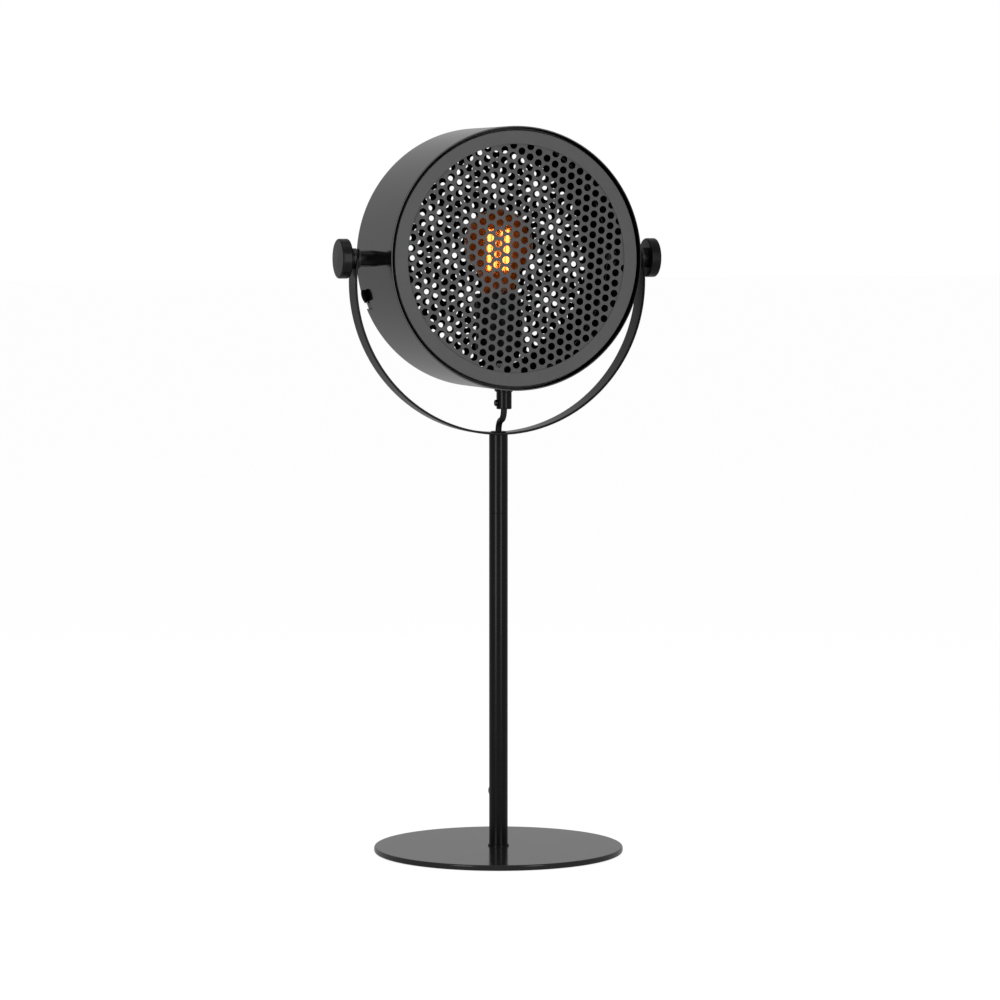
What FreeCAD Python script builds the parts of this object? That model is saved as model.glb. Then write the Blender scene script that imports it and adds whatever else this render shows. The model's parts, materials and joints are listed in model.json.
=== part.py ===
import FreeCAD, Part
import math
import os

# Tabletop searchlight lamp: a drum head with perforated faces hangs in a C-shaped
# yoke on a slim two-piece stem, over a flat round base.
#
# Frame: millimetres, +Z up, origin on the table under the middle of the base.
# The drum's axis runs along Y and its front faces -Y. The yoke's pivots lie along X.

# ---------------------------------------------------------------- base and stem
base_diameter = 220.0
base_thickness = 5.0
base_edge_radius = 1.5
pad_diameter = 204.0
pad_bore = 34.0
pad_thickness = 1.2
pad_recess = 0.6

stem_diameter = 16.5
stem_wall = 1.5
lower_stem_length = 293.6
upper_stem_length = 69.0
connector_length = 44.0
connector_bore = 8.0
collar_diameter = 18.6
collar_height = 1.6
foot_spigot_length = 18.0
foot_screw_diameter = 8.0
foot_screw_head_diameter = 15.6
foot_screw_length = 20.0
foot_socket_width = 5.0
foot_socket_depth = 2.4

outlet_height = 48.0
outlet_hole_diameter = 9.0
outlet_flange_diameter = 13.0
outlet_flange_thickness = 1.8
outlet_inner_lip = 0.8
outlet_bore = 6.6

head_plug_length = 26.0
head_spigot_diameter = 11.0
head_rim_diameter = 13.6
head_rim_thickness = 0.8

# ---------------------------------------------------------------- yoke and pivots
yoke_width = 20.0
yoke_thickness = 2.0
yoke_drop = 20.6
yoke_end_height = 8.7
side_gap = 17.7
stud_diameter = 8.0
stud_inner_length = 9.0
stud_nut_width = 13.0
stud_nut_height = 5.0
spacer_diameter = 14.0
taper_washer_diameter = 18.0
taper_washer_edge = 0.4
knob_hub_diameter = 18.0
knob_hub_length = 3.4
knob_diameter = 34.5
knob_thickness = 9.8
knob_edge_radius = 1.6
knob_bore_depth = 9.5

# ---------------------------------------------------------------- drum
drum_diameter = 228.6
drum_depth = 102.5
drum_wall = 1.2
bezel_recess = 1.0
bezel_thickness = 1.2
bezel_opening_inset = 15.4
bezel_flange_depth = 12.0
bezel_outer_gap = 2.6
grille_thickness = 1.0
grille_edge_gap = 0.3
front_hole_diameter = 6.4
rear_hole_diameter = 4.8
grille_hole_pitch = 9.0
grille_field_inset = 14.7
front_grille_angle = 4.0
front_grille_across = -1.6
front_grille_up = 2.9
rear_grille_angle = -9.8
rear_grille_across = -0.7
rear_grille_up = 1.5
retainer_width = 7.0
retainer_thickness = 1.5
retainer_stud_diameter = 3.0
retainer_stud_inset = 3.8
retainer_nut_width = 5.5
retainer_nut_height = 2.4
retainer_stud_count = 3
front_stud_angle = 30.0
rear_stud_angle = 76.0 - 60.0

# ---------------------------------------------------------------- rear cover screws
cover_fit_gap = 0.3
cover_flange_depth = 21.7
cover_screw_count = 3
cover_screw_angle = 196.0
cover_screw_inset = 15.2
cover_turn = 5.2
cover_screw_diameter = 5.0
cover_screw_length = 9.0
cover_screw_head_diameter = 11.2
cover_screw_head_thickness = 3.3
cover_screw_groove_count = 20
cover_screw_groove_diameter = 0.9
cover_slot_gap = 0.4
cover_boss_diameter = 9.0
cover_boss_height = 4.0

# ---------------------------------------------------------------- lampholder
bracket_height = 23.1
bracket_width = 16.0
bracket_thickness = 2.0
bracket_front = 8.0
bracket_rear = 12.0
bracket_screw_diameter = 3.8
bracket_screw_head_diameter = 7.0
bracket_screw_head_height = 2.4
bracket_screw_projection = 1.6
nipple_diameter = 10.0
nipple_bore = 6.6
nipple_nut_width = 14.0
nipple_nut_height = 3.0
nipple_projection = 1.0
nipple_rise = 7.0
holder_diameter = 40.0
holder_wall = 1.8
holder_dome_height = 18.0
holder_dome_foot_diameter = 25.0
holder_body_height = 26.0
holder_skirt_height = 15.0
holder_skirt_bore = 36.0
holder_skirt_lip = 1.6
holder_insert_height = 7.4
holder_insert_bore = 7.0
holder_contact_diameter = 9.0
holder_contact_height = 2.2
holder_shell_wall = 0.8
holder_shell_gap = 0.3

# ---------------------------------------------------------------- bulb
bulb_diameter = 60.0
bulb_height = 77.0
bulb_neck_diameter = 28.0
bulb_neck_straight = 4.0
bulb_glass_wall = 0.8
bulb_cap_diameter = 26.2
bulb_cap_height = 26.6
bulb_cap_shell_height = 20.0
bulb_tip_diameter = 9.6
bulb_tip_height = 1.6
bulb_cap_cone_height = 2.8
filament_count = 4
filament_diameter = 1.8
filament_length = 35.0
filament_circle_radius = 9.0
filament_base_height = 24.0
filament_ring_thickness = 0.9
bulb_flare_diameter = 22.0
bulb_flare_height = 8.0
bulb_post_diameter = 4.0
bulb_wire_thickness = 0.9

# ---------------------------------------------------------------- lead and its grip
lead_diameter = 5.5
grip_forward = 15.0
grip_diameter = 13.4
grip_length = 17.3
grip_flange_diameter = 15.2
grip_flange_thickness = 2.2
grip_thread_diameter = 10.0
grip_bore = 6.0
grip_nut_width = 14.0
grip_nut_height = 2.5
grip_screw_diameter = 3.0
grip_screw_head_diameter = 5.6
grip_screw_head_height = 1.8
grip_screw_height = 5.4
outlet_bend_radius = 8.0

# ---------------------------------------------------------------- fits
running_gap = 0.05
pivot_face_gap = 0.1
seat_gap = 0.1
hole_gap = 0.2
thread_gap = 0.05

# ---------------------------------------------------------------- derived places
X_AXIS = FreeCAD.Vector(1, 0, 0)
Y_AXIS = FreeCAD.Vector(0, 1, 0)
Z_AXIS = FreeCAD.Vector(0, 0, 1)
ORIGIN = FreeCAD.Vector(0, 0, 0)

base_bottom = pad_thickness - pad_recess
base_top = base_bottom + base_thickness
lower_stem_bottom = base_top + collar_height
stem_seam = lower_stem_bottom + lower_stem_length
stem_top = stem_seam + upper_stem_length
stem_radius = stem_diameter / 2
stem_bore_radius = stem_radius - stem_wall

drum_radius = drum_diameter / 2
drum_bore_radius = drum_radius - drum_wall
yoke_inner_radius = drum_radius + side_gap
yoke_outer_radius = yoke_inner_radius + yoke_thickness
yoke_centre = stem_top + yoke_outer_radius
pivot_height = yoke_centre + yoke_drop
pivot = FreeCAD.Vector(0, 0, pivot_height)
washer_radius = taper_washer_diameter / 2
washer_low_point = max(0.0, yoke_drop - washer_radius)
washer_high_point = yoke_drop + washer_radius
pivot_face_outer = math.sqrt(yoke_outer_radius ** 2 - washer_low_point ** 2) + taper_washer_edge
pivot_face_inner = math.sqrt(yoke_inner_radius ** 2 - washer_high_point ** 2) - taper_washer_edge
knob_face = pivot_face_outer + pivot_face_gap
spacer_face = pivot_face_inner - pivot_face_gap

drum_front = -drum_depth / 2
drum_rear = drum_depth / 2
drum_floor = pivot_height - drum_bore_radius
drum_bottom = pivot_height - drum_radius

bezel_front = drum_front + bezel_recess
bezel_outer_radius = drum_bore_radius - bezel_outer_gap
cover_outer_radius = drum_bore_radius - cover_fit_gap
cover_rear = drum_rear - bezel_recess
cover_screw_plane = drum_rear - cover_screw_inset

head_rim_seat = yoke_centre - math.sqrt(yoke_inner_radius ** 2 - (head_rim_diameter / 2) ** 2)
head_rim_top = head_rim_seat + head_rim_thickness

holder_bottom = drum_floor + bracket_height
holder_body_bottom = holder_bottom + holder_dome_height
holder_skirt_bottom = holder_body_bottom + holder_body_height
holder_top = holder_skirt_bottom + holder_skirt_height
holder_insert_bottom = holder_body_bottom + holder_wall
holder_insert_top = holder_insert_bottom + holder_insert_height
bulb_tip = holder_insert_top + holder_contact_height
bulb_cap_top = bulb_tip + bulb_cap_height
bulb_top = bulb_cap_top + bulb_height

grip_bottom = drum_bottom - grip_length
outlet_level = base_top + outlet_height


# ---------------------------------------------------------------- helpers
def point(x, y, z):
    """Return a vector from three coordinates."""
    return FreeCAD.Vector(x, y, z)


def rod(radius, length, start, axis):
    """Return a solid cylinder that starts at a point and runs along an axis."""
    return Part.makeCylinder(radius, length, start, axis)


def tube(outer_radius, inner_radius, length, start, axis):
    """Return a plain tube."""
    overshoot = axis * length
    bore = rod(inner_radius, length * 3, start - overshoot, axis)
    return rod(outer_radius, length, start, axis).cut(bore)


def box(x_range, y_range, z_range):
    """Return a box from its limits along each axis."""
    corner = point(x_range[0], y_range[0], z_range[0])
    sizes = [high - low for low, high in (x_range, y_range, z_range)]
    return Part.makeBox(sizes[0], sizes[1], sizes[2], corner)


def hexagon(width, height, start, axis):
    """Return a hexagonal bar with the given width across its flats."""
    corner_radius = width / math.sqrt(3)
    corners = []
    for index in range(7):
        angle = math.radians(60 * index)
        corners.append(point(corner_radius * math.cos(angle), corner_radius * math.sin(angle), 0))
    bar = Part.Face(Part.makePolygon(corners)).extrude(Z_AXIS * height)
    bar.Placement = FreeCAD.Placement(start, FreeCAD.Rotation(Z_AXIS, axis))
    return bar


def hex_nut(width, height, bore_diameter, start, axis):
    """Return a hexagonal nut with a plain bore."""
    bore = rod(bore_diameter / 2, height * 3, start - axis * height, axis)
    return hexagon(width, height, start, axis).cut(bore)


def turned(profile, start, axis):
    """Return the solid that a closed (radius, height) outline sweeps about an axis."""
    corners = [point(radius, 0, height) for radius, height in profile]
    corners.append(corners[0])
    solid = Part.Face(Part.makePolygon(corners)).revolve(ORIGIN, Z_AXIS, 360)
    solid.Placement = FreeCAD.Placement(start, FreeCAD.Rotation(Z_AXIS, axis))
    return solid


def circle_edges(shape, radius):
    """Return the full circular edges of a shape that have the given radius."""
    found = []
    for edge in shape.Edges:
        if isinstance(edge.Curve, Part.Circle) and abs(edge.Curve.Radius - radius) < 1e-6:
            found.append(edge)
    return found


def drum_cylinder(radius):
    """Return a solid cylinder on the drum's axis, longer than the drum at both ends."""
    start = point(0, drum_front * 2, pivot_height)
    return rod(radius, drum_depth * 2, start, Y_AXIS)


def yoke_cylinder(radius):
    """Return a solid cylinder on the axis of the yoke's bend."""
    start = point(0, -yoke_width, yoke_centre)
    return rod(radius, yoke_width * 2, start, Y_AXIS)


def sagitta(radius, half_width):
    """Return how far an arc falls away from its tangent at a distance from the touching point."""
    return radius - math.sqrt(radius ** 2 - half_width ** 2)


def around_drum(shape, angle):
    """Turn a shape about the drum's axis, from +X towards +Z, by an angle in degrees."""
    moved = shape.copy()
    moved.rotate(pivot, -Y_AXIS, angle)
    return moved


def mirrored(shape, side):
    """Return the shape itself for side 1, or its mirror image in the YZ plane for side -1."""
    if side > 0:
        return shape
    return shape.mirror(ORIGIN, X_AXIS)


def lead_straight(y, bottom, top):
    """Return an upright length of the lead."""
    return rod(lead_diameter / 2, top - bottom, point(0, y, bottom), Z_AXIS)


def lead_bend(start_y, start_z, centre_y, centre_z, degrees):
    """Return a bend of the lead that starts level at a point and turns about an X axis."""
    section = Part.makeCircle(lead_diameter / 2, point(0, start_y, start_z), Z_AXIS)
    face = Part.Face(Part.Wire(section))
    return face.revolve(point(0, centre_y, centre_z), X_AXIS, degrees)


def lead_s_bend(start_y, start_z, end_y, end_z):
    """Return two tangent bends that carry the lead sideways between two upright ends."""
    shift = end_y - start_y
    rise = end_z - start_z
    side = math.copysign(1, shift)
    turn = 2 * math.atan(abs(shift) / rise)
    radius = rise / (2 * math.sin(turn))
    print("lead bend radius", round(radius, 2), "mm, turn", round(math.degrees(turn), 1), "degrees")
    lower = lead_bend(start_y, start_z, start_y + side * radius, start_z, -side * math.degrees(turn))
    upper = lead_bend(end_y, end_z, end_y - side * radius, end_z, -side * math.degrees(turn))
    return lower.fuse(upper).removeSplitter()


# ---------------------------------------------------------------- base and stem pieces
def make_base_plate():
    """Round steel plate with a softened rim, a countersunk screw hole and a pad recess."""
    plate = rod(base_diameter / 2, base_thickness, point(0, 0, base_bottom), Z_AXIS)
    rims = circle_edges(plate, base_diameter / 2)
    plate = plate.makeFillet(base_edge_radius, rims)
    recess = tube(pad_diameter / 2 + seat_gap, pad_bore / 2 - seat_gap, pad_recess,
                  point(0, 0, base_bottom), Z_AXIS)
    hole = rod(foot_screw_diameter / 2 + seat_gap, base_top, ORIGIN, Z_AXIS)
    return plate.cut(recess).cut(hole).cut(foot_screw_cone(seat_gap))


def foot_screw_cone(gap):
    """Return the screw's 90 degree head, or its countersink where a gap is given."""
    head_radius = foot_screw_head_diameter / 2 + gap
    shank_radius = foot_screw_diameter / 2 + gap
    return Part.makeCone(head_radius, shank_radius, head_radius - shank_radius,
                         point(0, 0, base_bottom), Z_AXIS)


def make_base_pad():
    """Foam ring under the base."""
    return tube(pad_diameter / 2, pad_bore / 2, pad_thickness, ORIGIN, Z_AXIS)


def make_foot_screw():
    """Countersunk screw that holds the foot socket on the plate."""
    shank = rod(foot_screw_diameter / 2, foot_screw_length, point(0, 0, base_bottom), Z_AXIS)
    socket = hexagon(foot_socket_width, foot_socket_depth, point(0, 0, base_bottom), Z_AXIS)
    return shank.fuse(foot_screw_cone(0)).cut(socket)


def make_foot_socket():
    """Turned foot: a thin collar on the plate and a spigot inside the lower stem."""
    collar = rod(collar_diameter / 2, collar_height, point(0, 0, base_top), Z_AXIS)
    spigot = rod(stem_bore_radius - seat_gap, collar_height + foot_spigot_length,
                 point(0, 0, base_top), Z_AXIS)
    hole_depth = base_bottom + foot_screw_length - base_top + 1.0
    hole = rod(foot_screw_diameter / 2 + thread_gap, hole_depth, point(0, 0, base_top), Z_AXIS)
    return collar.fuse(spigot).cut(hole)


def make_lower_stem():
    """Lower stem tube with the lead's outlet hole at its rear."""
    stem = tube(stem_radius, stem_bore_radius, lower_stem_length,
                point(0, 0, lower_stem_bottom), Z_AXIS)
    hole = rod(outlet_hole_diameter / 2, stem_diameter, point(0, 0, outlet_level), Y_AXIS)
    return stem.cut(hole)


def make_stem_connector():
    """Sleeve inside both stem tubes at their seam."""
    return tube(stem_bore_radius - seat_gap, connector_bore / 2, connector_length,
                point(0, 0, stem_seam - connector_length / 2), Z_AXIS)


def make_upper_stem():
    """Upper stem tube, its top shaped to the yoke's bend."""
    stem = tube(stem_radius, stem_bore_radius, upper_stem_length + yoke_thickness,
                point(0, 0, stem_seam), Z_AXIS)
    return stem.cut(yoke_cylinder(yoke_outer_radius))


def make_head_plug():
    """Bored plug in the stem's top, with a spigot and a spread rim that hold the yoke."""
    plug = rod(stem_bore_radius - seat_gap, head_plug_length + yoke_thickness,
               point(0, 0, stem_top - head_plug_length), Z_AXIS)
    plug = plug.cut(yoke_cylinder(yoke_outer_radius))
    spigot = rod(head_spigot_diameter / 2, head_rim_top - stem_top + 1.0,
                 point(0, 0, stem_top - 1.0), Z_AXIS)
    rim = rod(head_rim_diameter / 2, head_rim_thickness, point(0, 0, head_rim_seat), Z_AXIS)
    bore = rod(grip_bore / 2, head_plug_length * 2, point(0, 0, stem_top - head_plug_length), Z_AXIS)
    return plug.fuse(spigot).fuse(rim).cut(bore)


def make_outlet_bush():
    """Rubber bush round the lead where it leaves the lower stem."""
    inner_end = stem_bore_radius - outlet_inner_lip
    outer_end = stem_radius + outlet_flange_thickness
    flange = rod(outlet_flange_diameter / 2, outer_end, point(0, 0, outlet_level), Y_AXIS)
    flange = flange.cut(rod(stem_radius, outlet_flange_diameter * 2,
                            point(0, 0, outlet_level - outlet_flange_diameter), Z_AXIS))
    neck = rod(outlet_hole_diameter / 2, outer_end - inner_end, point(0, inner_end, outlet_level), Y_AXIS)
    bore = rod(outlet_bore / 2, stem_diameter * 2, point(0, 0, outlet_level), Y_AXIS)
    return flange.fuse(neck).cut(bore)


# ---------------------------------------------------------------- yoke and pivot pieces
def make_yoke():
    """Flat strip rolled to a C, with round ends, two pivot holes and a hole for the plug."""
    ring = yoke_cylinder(yoke_outer_radius).cut(yoke_cylinder(yoke_inner_radius))
    half_width = yoke_width / 2
    across = yoke_outer_radius * 3
    end_centre = pivot_height + yoke_end_height - half_width
    side_view = box((-across / 2, across / 2), (-half_width, half_width),
                    (stem_top - yoke_width, end_centre))
    side_view = side_view.fuse(rod(half_width, across, point(-across / 2, 0, end_centre), X_AXIS))
    plug_hole = rod(head_spigot_diameter / 2, yoke_width * 2, point(0, 0, stem_top - yoke_width), Z_AXIS)
    return ring.common(side_view).cut(pivot_bore()).cut(plug_hole).removeSplitter()


def pivot_bore():
    """Return the cutter of both pivot holes, a running fit on the studs."""
    across = yoke_outer_radius * 3
    return rod(stud_diameter / 2 + running_gap, across, point(-across / 2, 0, pivot_height), X_AXIS)


def make_outer_washer(side):
    """Tapered washer that gives the knob an upright face on the yoke's leaning end."""
    disc = rod(washer_radius, side_gap, point(pivot_face_outer - side_gap, 0, pivot_height), X_AXIS)
    washer = disc.cut(yoke_cylinder(yoke_outer_radius)).cut(pivot_bore())
    return mirrored(washer, side)


def make_inner_washer(side):
    """Tapered washer that gives the spacer an upright face on the yoke's leaning end."""
    disc = rod(washer_radius, side_gap, point(pivot_face_inner, 0, pivot_height), X_AXIS)
    washer = disc.common(yoke_cylinder(yoke_inner_radius)).cut(pivot_bore())
    return mirrored(washer, side)


def make_spacer(side):
    """Round spacer between the drum's wall and the yoke."""
    spacer = tube(spacer_diameter / 2, stud_diameter / 2 + seat_gap, spacer_face - drum_bore_radius,
                  point(drum_bore_radius, 0, pivot_height), X_AXIS)
    return mirrored(spacer.cut(drum_cylinder(drum_radius)), side)


def stud_nut_face():
    """Return how far out the nut's flat face can lie inside the curved drum wall."""
    corner_radius = stud_nut_width / math.sqrt(3)
    return drum_bore_radius - sagitta(drum_bore_radius, corner_radius)


def make_stud(side):
    """Threaded pivot stud, fixed in the drum, that the yoke swings on and the knob screws on."""
    start = stud_nut_face() - stud_inner_length
    end = knob_face + knob_bore_depth - 1.0
    return mirrored(rod(stud_diameter / 2, end - start, point(start, 0, pivot_height), X_AXIS), side)


def make_stud_nut(side):
    """Nut on the stud inside the drum."""
    start = point(stud_nut_face() - stud_nut_height, 0, pivot_height)
    nut = hex_nut(stud_nut_width, stud_nut_height, stud_diameter + 2 * thread_gap, start, X_AXIS)
    return mirrored(nut, side)


def make_knob(side):
    """Flat round clamping knob with a narrower hub against the yoke."""
    disc = rod(knob_diameter / 2, knob_thickness,
               point(knob_face + knob_hub_length, 0, pivot_height), X_AXIS)
    disc = disc.makeFillet(knob_edge_radius, circle_edges(disc, knob_diameter / 2))
    hub = rod(knob_hub_diameter / 2, knob_hub_length + knob_thickness / 2,
              point(knob_face, 0, pivot_height), X_AXIS)
    bore = rod(stud_diameter / 2 + running_gap, knob_bore_depth,
               point(knob_face, 0, pivot_height), X_AXIS)
    return mirrored(disc.fuse(hub).cut(bore).removeSplitter(), side)


# ---------------------------------------------------------------- drum pieces
def bayonet_slot():
    """Return the cutter of one L-shaped slot in the drum's rear edge, at angle 0."""
    half_width = cover_screw_diameter / 2 + cover_slot_gap
    reach = drum_wall + 2.0
    inner = drum_bore_radius - 1.0
    end = rod(half_width, reach, point(inner, cover_screw_plane, pivot_height), X_AXIS)
    mouth = box((inner, inner + reach), (cover_screw_plane, drum_rear + 1.0),
                (pivot_height - half_width, pivot_height + half_width))
    corners = [
        point(inner, cover_screw_plane - half_width, pivot_height),
        point(inner + reach, cover_screw_plane - half_width, pivot_height),
        point(inner + reach, cover_screw_plane + half_width, pivot_height),
        point(inner, cover_screw_plane + half_width, pivot_height),
    ]
    face = Part.Face(Part.makePolygon(corners + corners[:1]))
    way = face.revolve(pivot, -Y_AXIS, cover_turn)
    entry = around_drum(end.fuse(mouth), cover_turn)
    return end.fuse(way).fuse(entry)


def cover_screw_angles():
    """Return the places of the cover's screws round the drum."""
    return [cover_screw_angle + index * 360 / cover_screw_count for index in range(cover_screw_count)]


def make_drum_shell():
    """Rolled drum wall with holes for studs, grip and bracket, and slots for the cover screws."""
    shell = tube(drum_radius, drum_bore_radius, drum_depth, point(0, drum_front, pivot_height), Y_AXIS)
    shell = shell.cut(rod(stud_diameter / 2 + hole_gap, drum_diameter * 2,
                          point(-drum_diameter, 0, pivot_height), X_AXIS))
    below = drum_bottom - drum_wall
    shell = shell.cut(rod(grip_thread_diameter / 2 + seat_gap, drum_wall * 6,
                          point(0, -grip_forward, below), Z_AXIS))
    shell = shell.cut(rod(bracket_screw_diameter / 2 + hole_gap, drum_wall * 6,
                          point(0, 0, below), Z_AXIS))
    slot = bayonet_slot()
    for angle in cover_screw_angles():
        shell = shell.cut(around_drum(slot, angle))
    return shell


def retainer_radius(outer_radius):
    """Return the radius of the circle on which a bezel's retaining studs stand."""
    return outer_radius - bezel_thickness - retainer_stud_inset


def retainer_pins(radius, length, outer_radius, face, inward, first_angle):
    """Return upright pins on a bezel's stud circle, pointing along the drum's axis."""
    pins = []
    for index in range(retainer_stud_count):
        pin = rod(radius, length, point(retainer_radius(outer_radius), face, pivot_height), inward)
        pins.append(around_drum(pin, first_angle + index * 360 / retainer_stud_count))
    return pins


def bezel(outer_radius, flange_depth, face, inward, first_angle):
    """Return a flat ring with a flange behind it and studs for its retaining ring."""
    start = point(0, face, pivot_height)
    ring = tube(outer_radius, drum_radius - bezel_opening_inset, bezel_thickness, start, inward)
    flange = tube(outer_radius, outer_radius - bezel_thickness, flange_depth, start, inward)
    solid = ring.fuse(flange)
    pin_length = bezel_thickness + grille_thickness + retainer_thickness + retainer_nut_height + 0.6
    for pin in retainer_pins(retainer_stud_diameter / 2, pin_length, outer_radius, face, inward,
                             first_angle):
        solid = solid.fuse(pin)
    return solid


def perforated_disc(radius, face, inward, pattern, first_stud_angle, outer_radius):
    """Return a flat disc with a triangular field of round holes and the studs' holes."""
    hole_diameter, angle, field_across, field_up = pattern
    outline = Part.makeCircle(radius, ORIGIN, Z_AXIS)
    wires = [Part.Wire(outline)]
    field_radius = drum_radius - grille_field_inset
    row_pitch = grille_hole_pitch * math.sqrt(3) / 2
    reach = int(field_radius / row_pitch) + 2
    lean = math.radians(angle)
    for column in range(-reach, reach + 1):
        for row in range(-reach, reach + 1):
            across = column * row_pitch
            up = (row + 0.5 * (column % 2)) * grille_hole_pitch
            x = across * math.cos(lean) + up * math.sin(lean) + field_across
            z = up * math.cos(lean) - across * math.sin(lean) + field_up
            if math.hypot(x, z) > field_radius:
                continue
            wires.append(Part.Wire(Part.makeCircle(hole_diameter / 2, point(x, z, 0), Z_AXIS)))
    for index in range(retainer_stud_count):
        place = math.radians(first_stud_angle + index * 360 / retainer_stud_count)
        x = retainer_radius(outer_radius) * math.cos(place)
        z = retainer_radius(outer_radius) * math.sin(place)
        hole = Part.makeCircle(retainer_stud_diameter / 2 + seat_gap, point(x, z, 0), Z_AXIS)
        wires.append(Part.Wire(hole))
    disc = Part.makeFace(wires, "Part::FaceMakerBullseye").extrude(Z_AXIS * grille_thickness)
    disc.rotate(ORIGIN, X_AXIS, 90)
    rear_side = max(face, face + inward.y * grille_thickness)
    disc.translate(point(0, rear_side, pivot_height))
    return disc


def retaining_ring(outer_radius, face, inward, first_angle):
    """Return the flat ring that clamps a grille, with holes for the bezel's studs."""
    disc_radius = outer_radius - bezel_thickness - grille_edge_gap
    ring = tube(disc_radius, disc_radius - retainer_width, retainer_thickness,
                point(0, face, pivot_height), inward)
    for pin in retainer_pins(retainer_stud_diameter / 2 + seat_gap, retainer_thickness,
                             outer_radius, face, inward, first_angle):
        ring = ring.cut(pin)
    return ring


def retainer_nut(index, outer_radius, face, inward, first_angle):
    """Return one nut behind the retaining ring."""
    nut = hex_nut(retainer_nut_width, retainer_nut_height,
                  retainer_stud_diameter + 2 * thread_gap,
                  point(retainer_radius(outer_radius), face, pivot_height), inward)
    return around_drum(nut, first_angle + index * 360 / retainer_stud_count)


def make_front_bezel():
    """Front ring, its flange turned out at the back to meet the drum's wall."""
    solid = bezel(bezel_outer_radius, bezel_flange_depth, bezel_front, Y_AXIS, front_stud_angle)
    foot_start = bezel_front + bezel_flange_depth - bezel_thickness
    foot = tube(drum_bore_radius, bezel_outer_radius - bezel_thickness, bezel_thickness,
                point(0, foot_start, pivot_height), Y_AXIS)
    return solid.fuse(foot).removeSplitter()


def make_rear_bezel():
    """Rear ring; its flange slides inside the drum and carries bosses for the thumb screws."""
    solid = bezel(cover_outer_radius, cover_flange_depth, cover_rear, -Y_AXIS, rear_stud_angle)
    boss_start = cover_outer_radius - bezel_thickness - cover_boss_height
    for angle in cover_screw_angles():
        boss = rod(cover_boss_diameter / 2, cover_boss_height + bezel_thickness,
                   point(boss_start, cover_screw_plane, pivot_height), X_AXIS)
        boss = boss.common(drum_cylinder(cover_outer_radius))
        solid = solid.fuse(around_drum(boss, angle))
    for angle in cover_screw_angles():
        hole = rod(cover_screw_diameter / 2 + running_gap, cover_boss_height * 4,
                   point(boss_start - cover_boss_height, cover_screw_plane, pivot_height), X_AXIS)
        solid = solid.cut(around_drum(hole, angle))
    return solid.removeSplitter()


def make_cover_screw(angle):
    """Knurled thumb screw of the rear cover."""
    seat = drum_radius + cover_fit_gap
    shank = rod(cover_screw_diameter / 2, cover_screw_length,
                point(seat - cover_screw_length, cover_screw_plane, pivot_height), X_AXIS)
    head = rod(cover_screw_head_diameter / 2, cover_screw_head_thickness,
               point(seat, cover_screw_plane, pivot_height), X_AXIS)
    for index in range(cover_screw_groove_count):
        place = 2 * math.pi * index / cover_screw_groove_count
        y = cover_screw_plane + cover_screw_head_diameter / 2 * math.cos(place)
        z = pivot_height + cover_screw_head_diameter / 2 * math.sin(place)
        groove = rod(cover_screw_groove_diameter / 2, cover_screw_head_thickness,
                     point(seat, y, z), X_AXIS)
        head = head.cut(groove)
    return around_drum(shank.fuse(head), angle)


# ---------------------------------------------------------------- lampholder pieces
def make_holder_bracket():
    """C-shaped bracket that stands on the drum's floor and carries the lampholder."""
    half_width = bracket_width / 2
    plate_top = holder_bottom
    foot = box((-half_width, half_width), (-bracket_front, bracket_rear),
               (drum_bottom, drum_floor + bracket_thickness))
    web = box((-half_width, half_width), (bracket_rear - bracket_thickness, bracket_rear),
              (drum_bottom, plate_top))
    plate = box((-half_width, half_width), (-bracket_front, bracket_rear),
                (plate_top - bracket_thickness, plate_top))
    bracket = foot.fuse(web).fuse(plate).common(drum_cylinder(drum_bore_radius))
    screw_hole = rod(bracket_screw_diameter / 2 + thread_gap, bracket_thickness * 4,
                     point(0, 0, drum_bottom), Z_AXIS)
    nipple_hole = rod(nipple_diameter / 2 + seat_gap, bracket_thickness * 3,
                      point(0, 0, plate_top - bracket_thickness * 2), Z_AXIS)
    return bracket.cut(screw_hole).cut(nipple_hole).removeSplitter()


def make_bracket_screw():
    """Cheese-head screw that holds the bracket from under the drum."""
    head = rod(bracket_screw_head_diameter / 2, bracket_screw_head_height,
               point(0, 0, drum_bottom - bracket_screw_head_height), Z_AXIS)
    end = drum_floor + bracket_thickness + bracket_screw_projection
    shank = rod(bracket_screw_diameter / 2, end - drum_bottom, point(0, 0, drum_bottom), Z_AXIS)
    slot = box((-bracket_screw_head_diameter, bracket_screw_head_diameter), (-0.5, 0.5),
               (drum_bottom - bracket_screw_head_height - 1.0, drum_bottom - bracket_screw_head_height / 2))
    return head.fuse(shank).cut(slot)


def nipple_bottom():
    """Return the level of the nipple's lower end."""
    return holder_bottom - bracket_thickness - nipple_nut_height - nipple_projection


def make_holder_nipple():
    """Hollow threaded nipple between bracket and lampholder."""
    return tube(nipple_diameter / 2, nipple_bore / 2, holder_bottom + nipple_rise - nipple_bottom(),
                point(0, 0, nipple_bottom()), Z_AXIS)


def make_nipple_nut():
    """Nut under the bracket's plate."""
    return hex_nut(nipple_nut_width, nipple_nut_height, nipple_diameter + 2 * thread_gap,
                   point(0, 0, holder_bottom - bracket_thickness - nipple_nut_height), Z_AXIS)


def make_holder_dome():
    """Lower shell of the lampholder, narrowing to its foot."""
    foot_radius = holder_dome_foot_diameter / 2
    radius = holder_diameter / 2
    shoulder = radius - foot_radius
    bore_radius = nipple_diameter / 2 + thread_gap
    outline = [
        (bore_radius, 0),
        (foot_radius, 0),
        (radius, shoulder),
        (radius, holder_dome_height),
        (radius - holder_wall, holder_dome_height),
        (radius - holder_wall, shoulder + holder_wall / 2),
        (foot_radius - holder_wall / 2, holder_wall),
        (bore_radius, holder_wall),
    ]
    return turned(outline, point(0, 0, holder_bottom), Z_AXIS)


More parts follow.
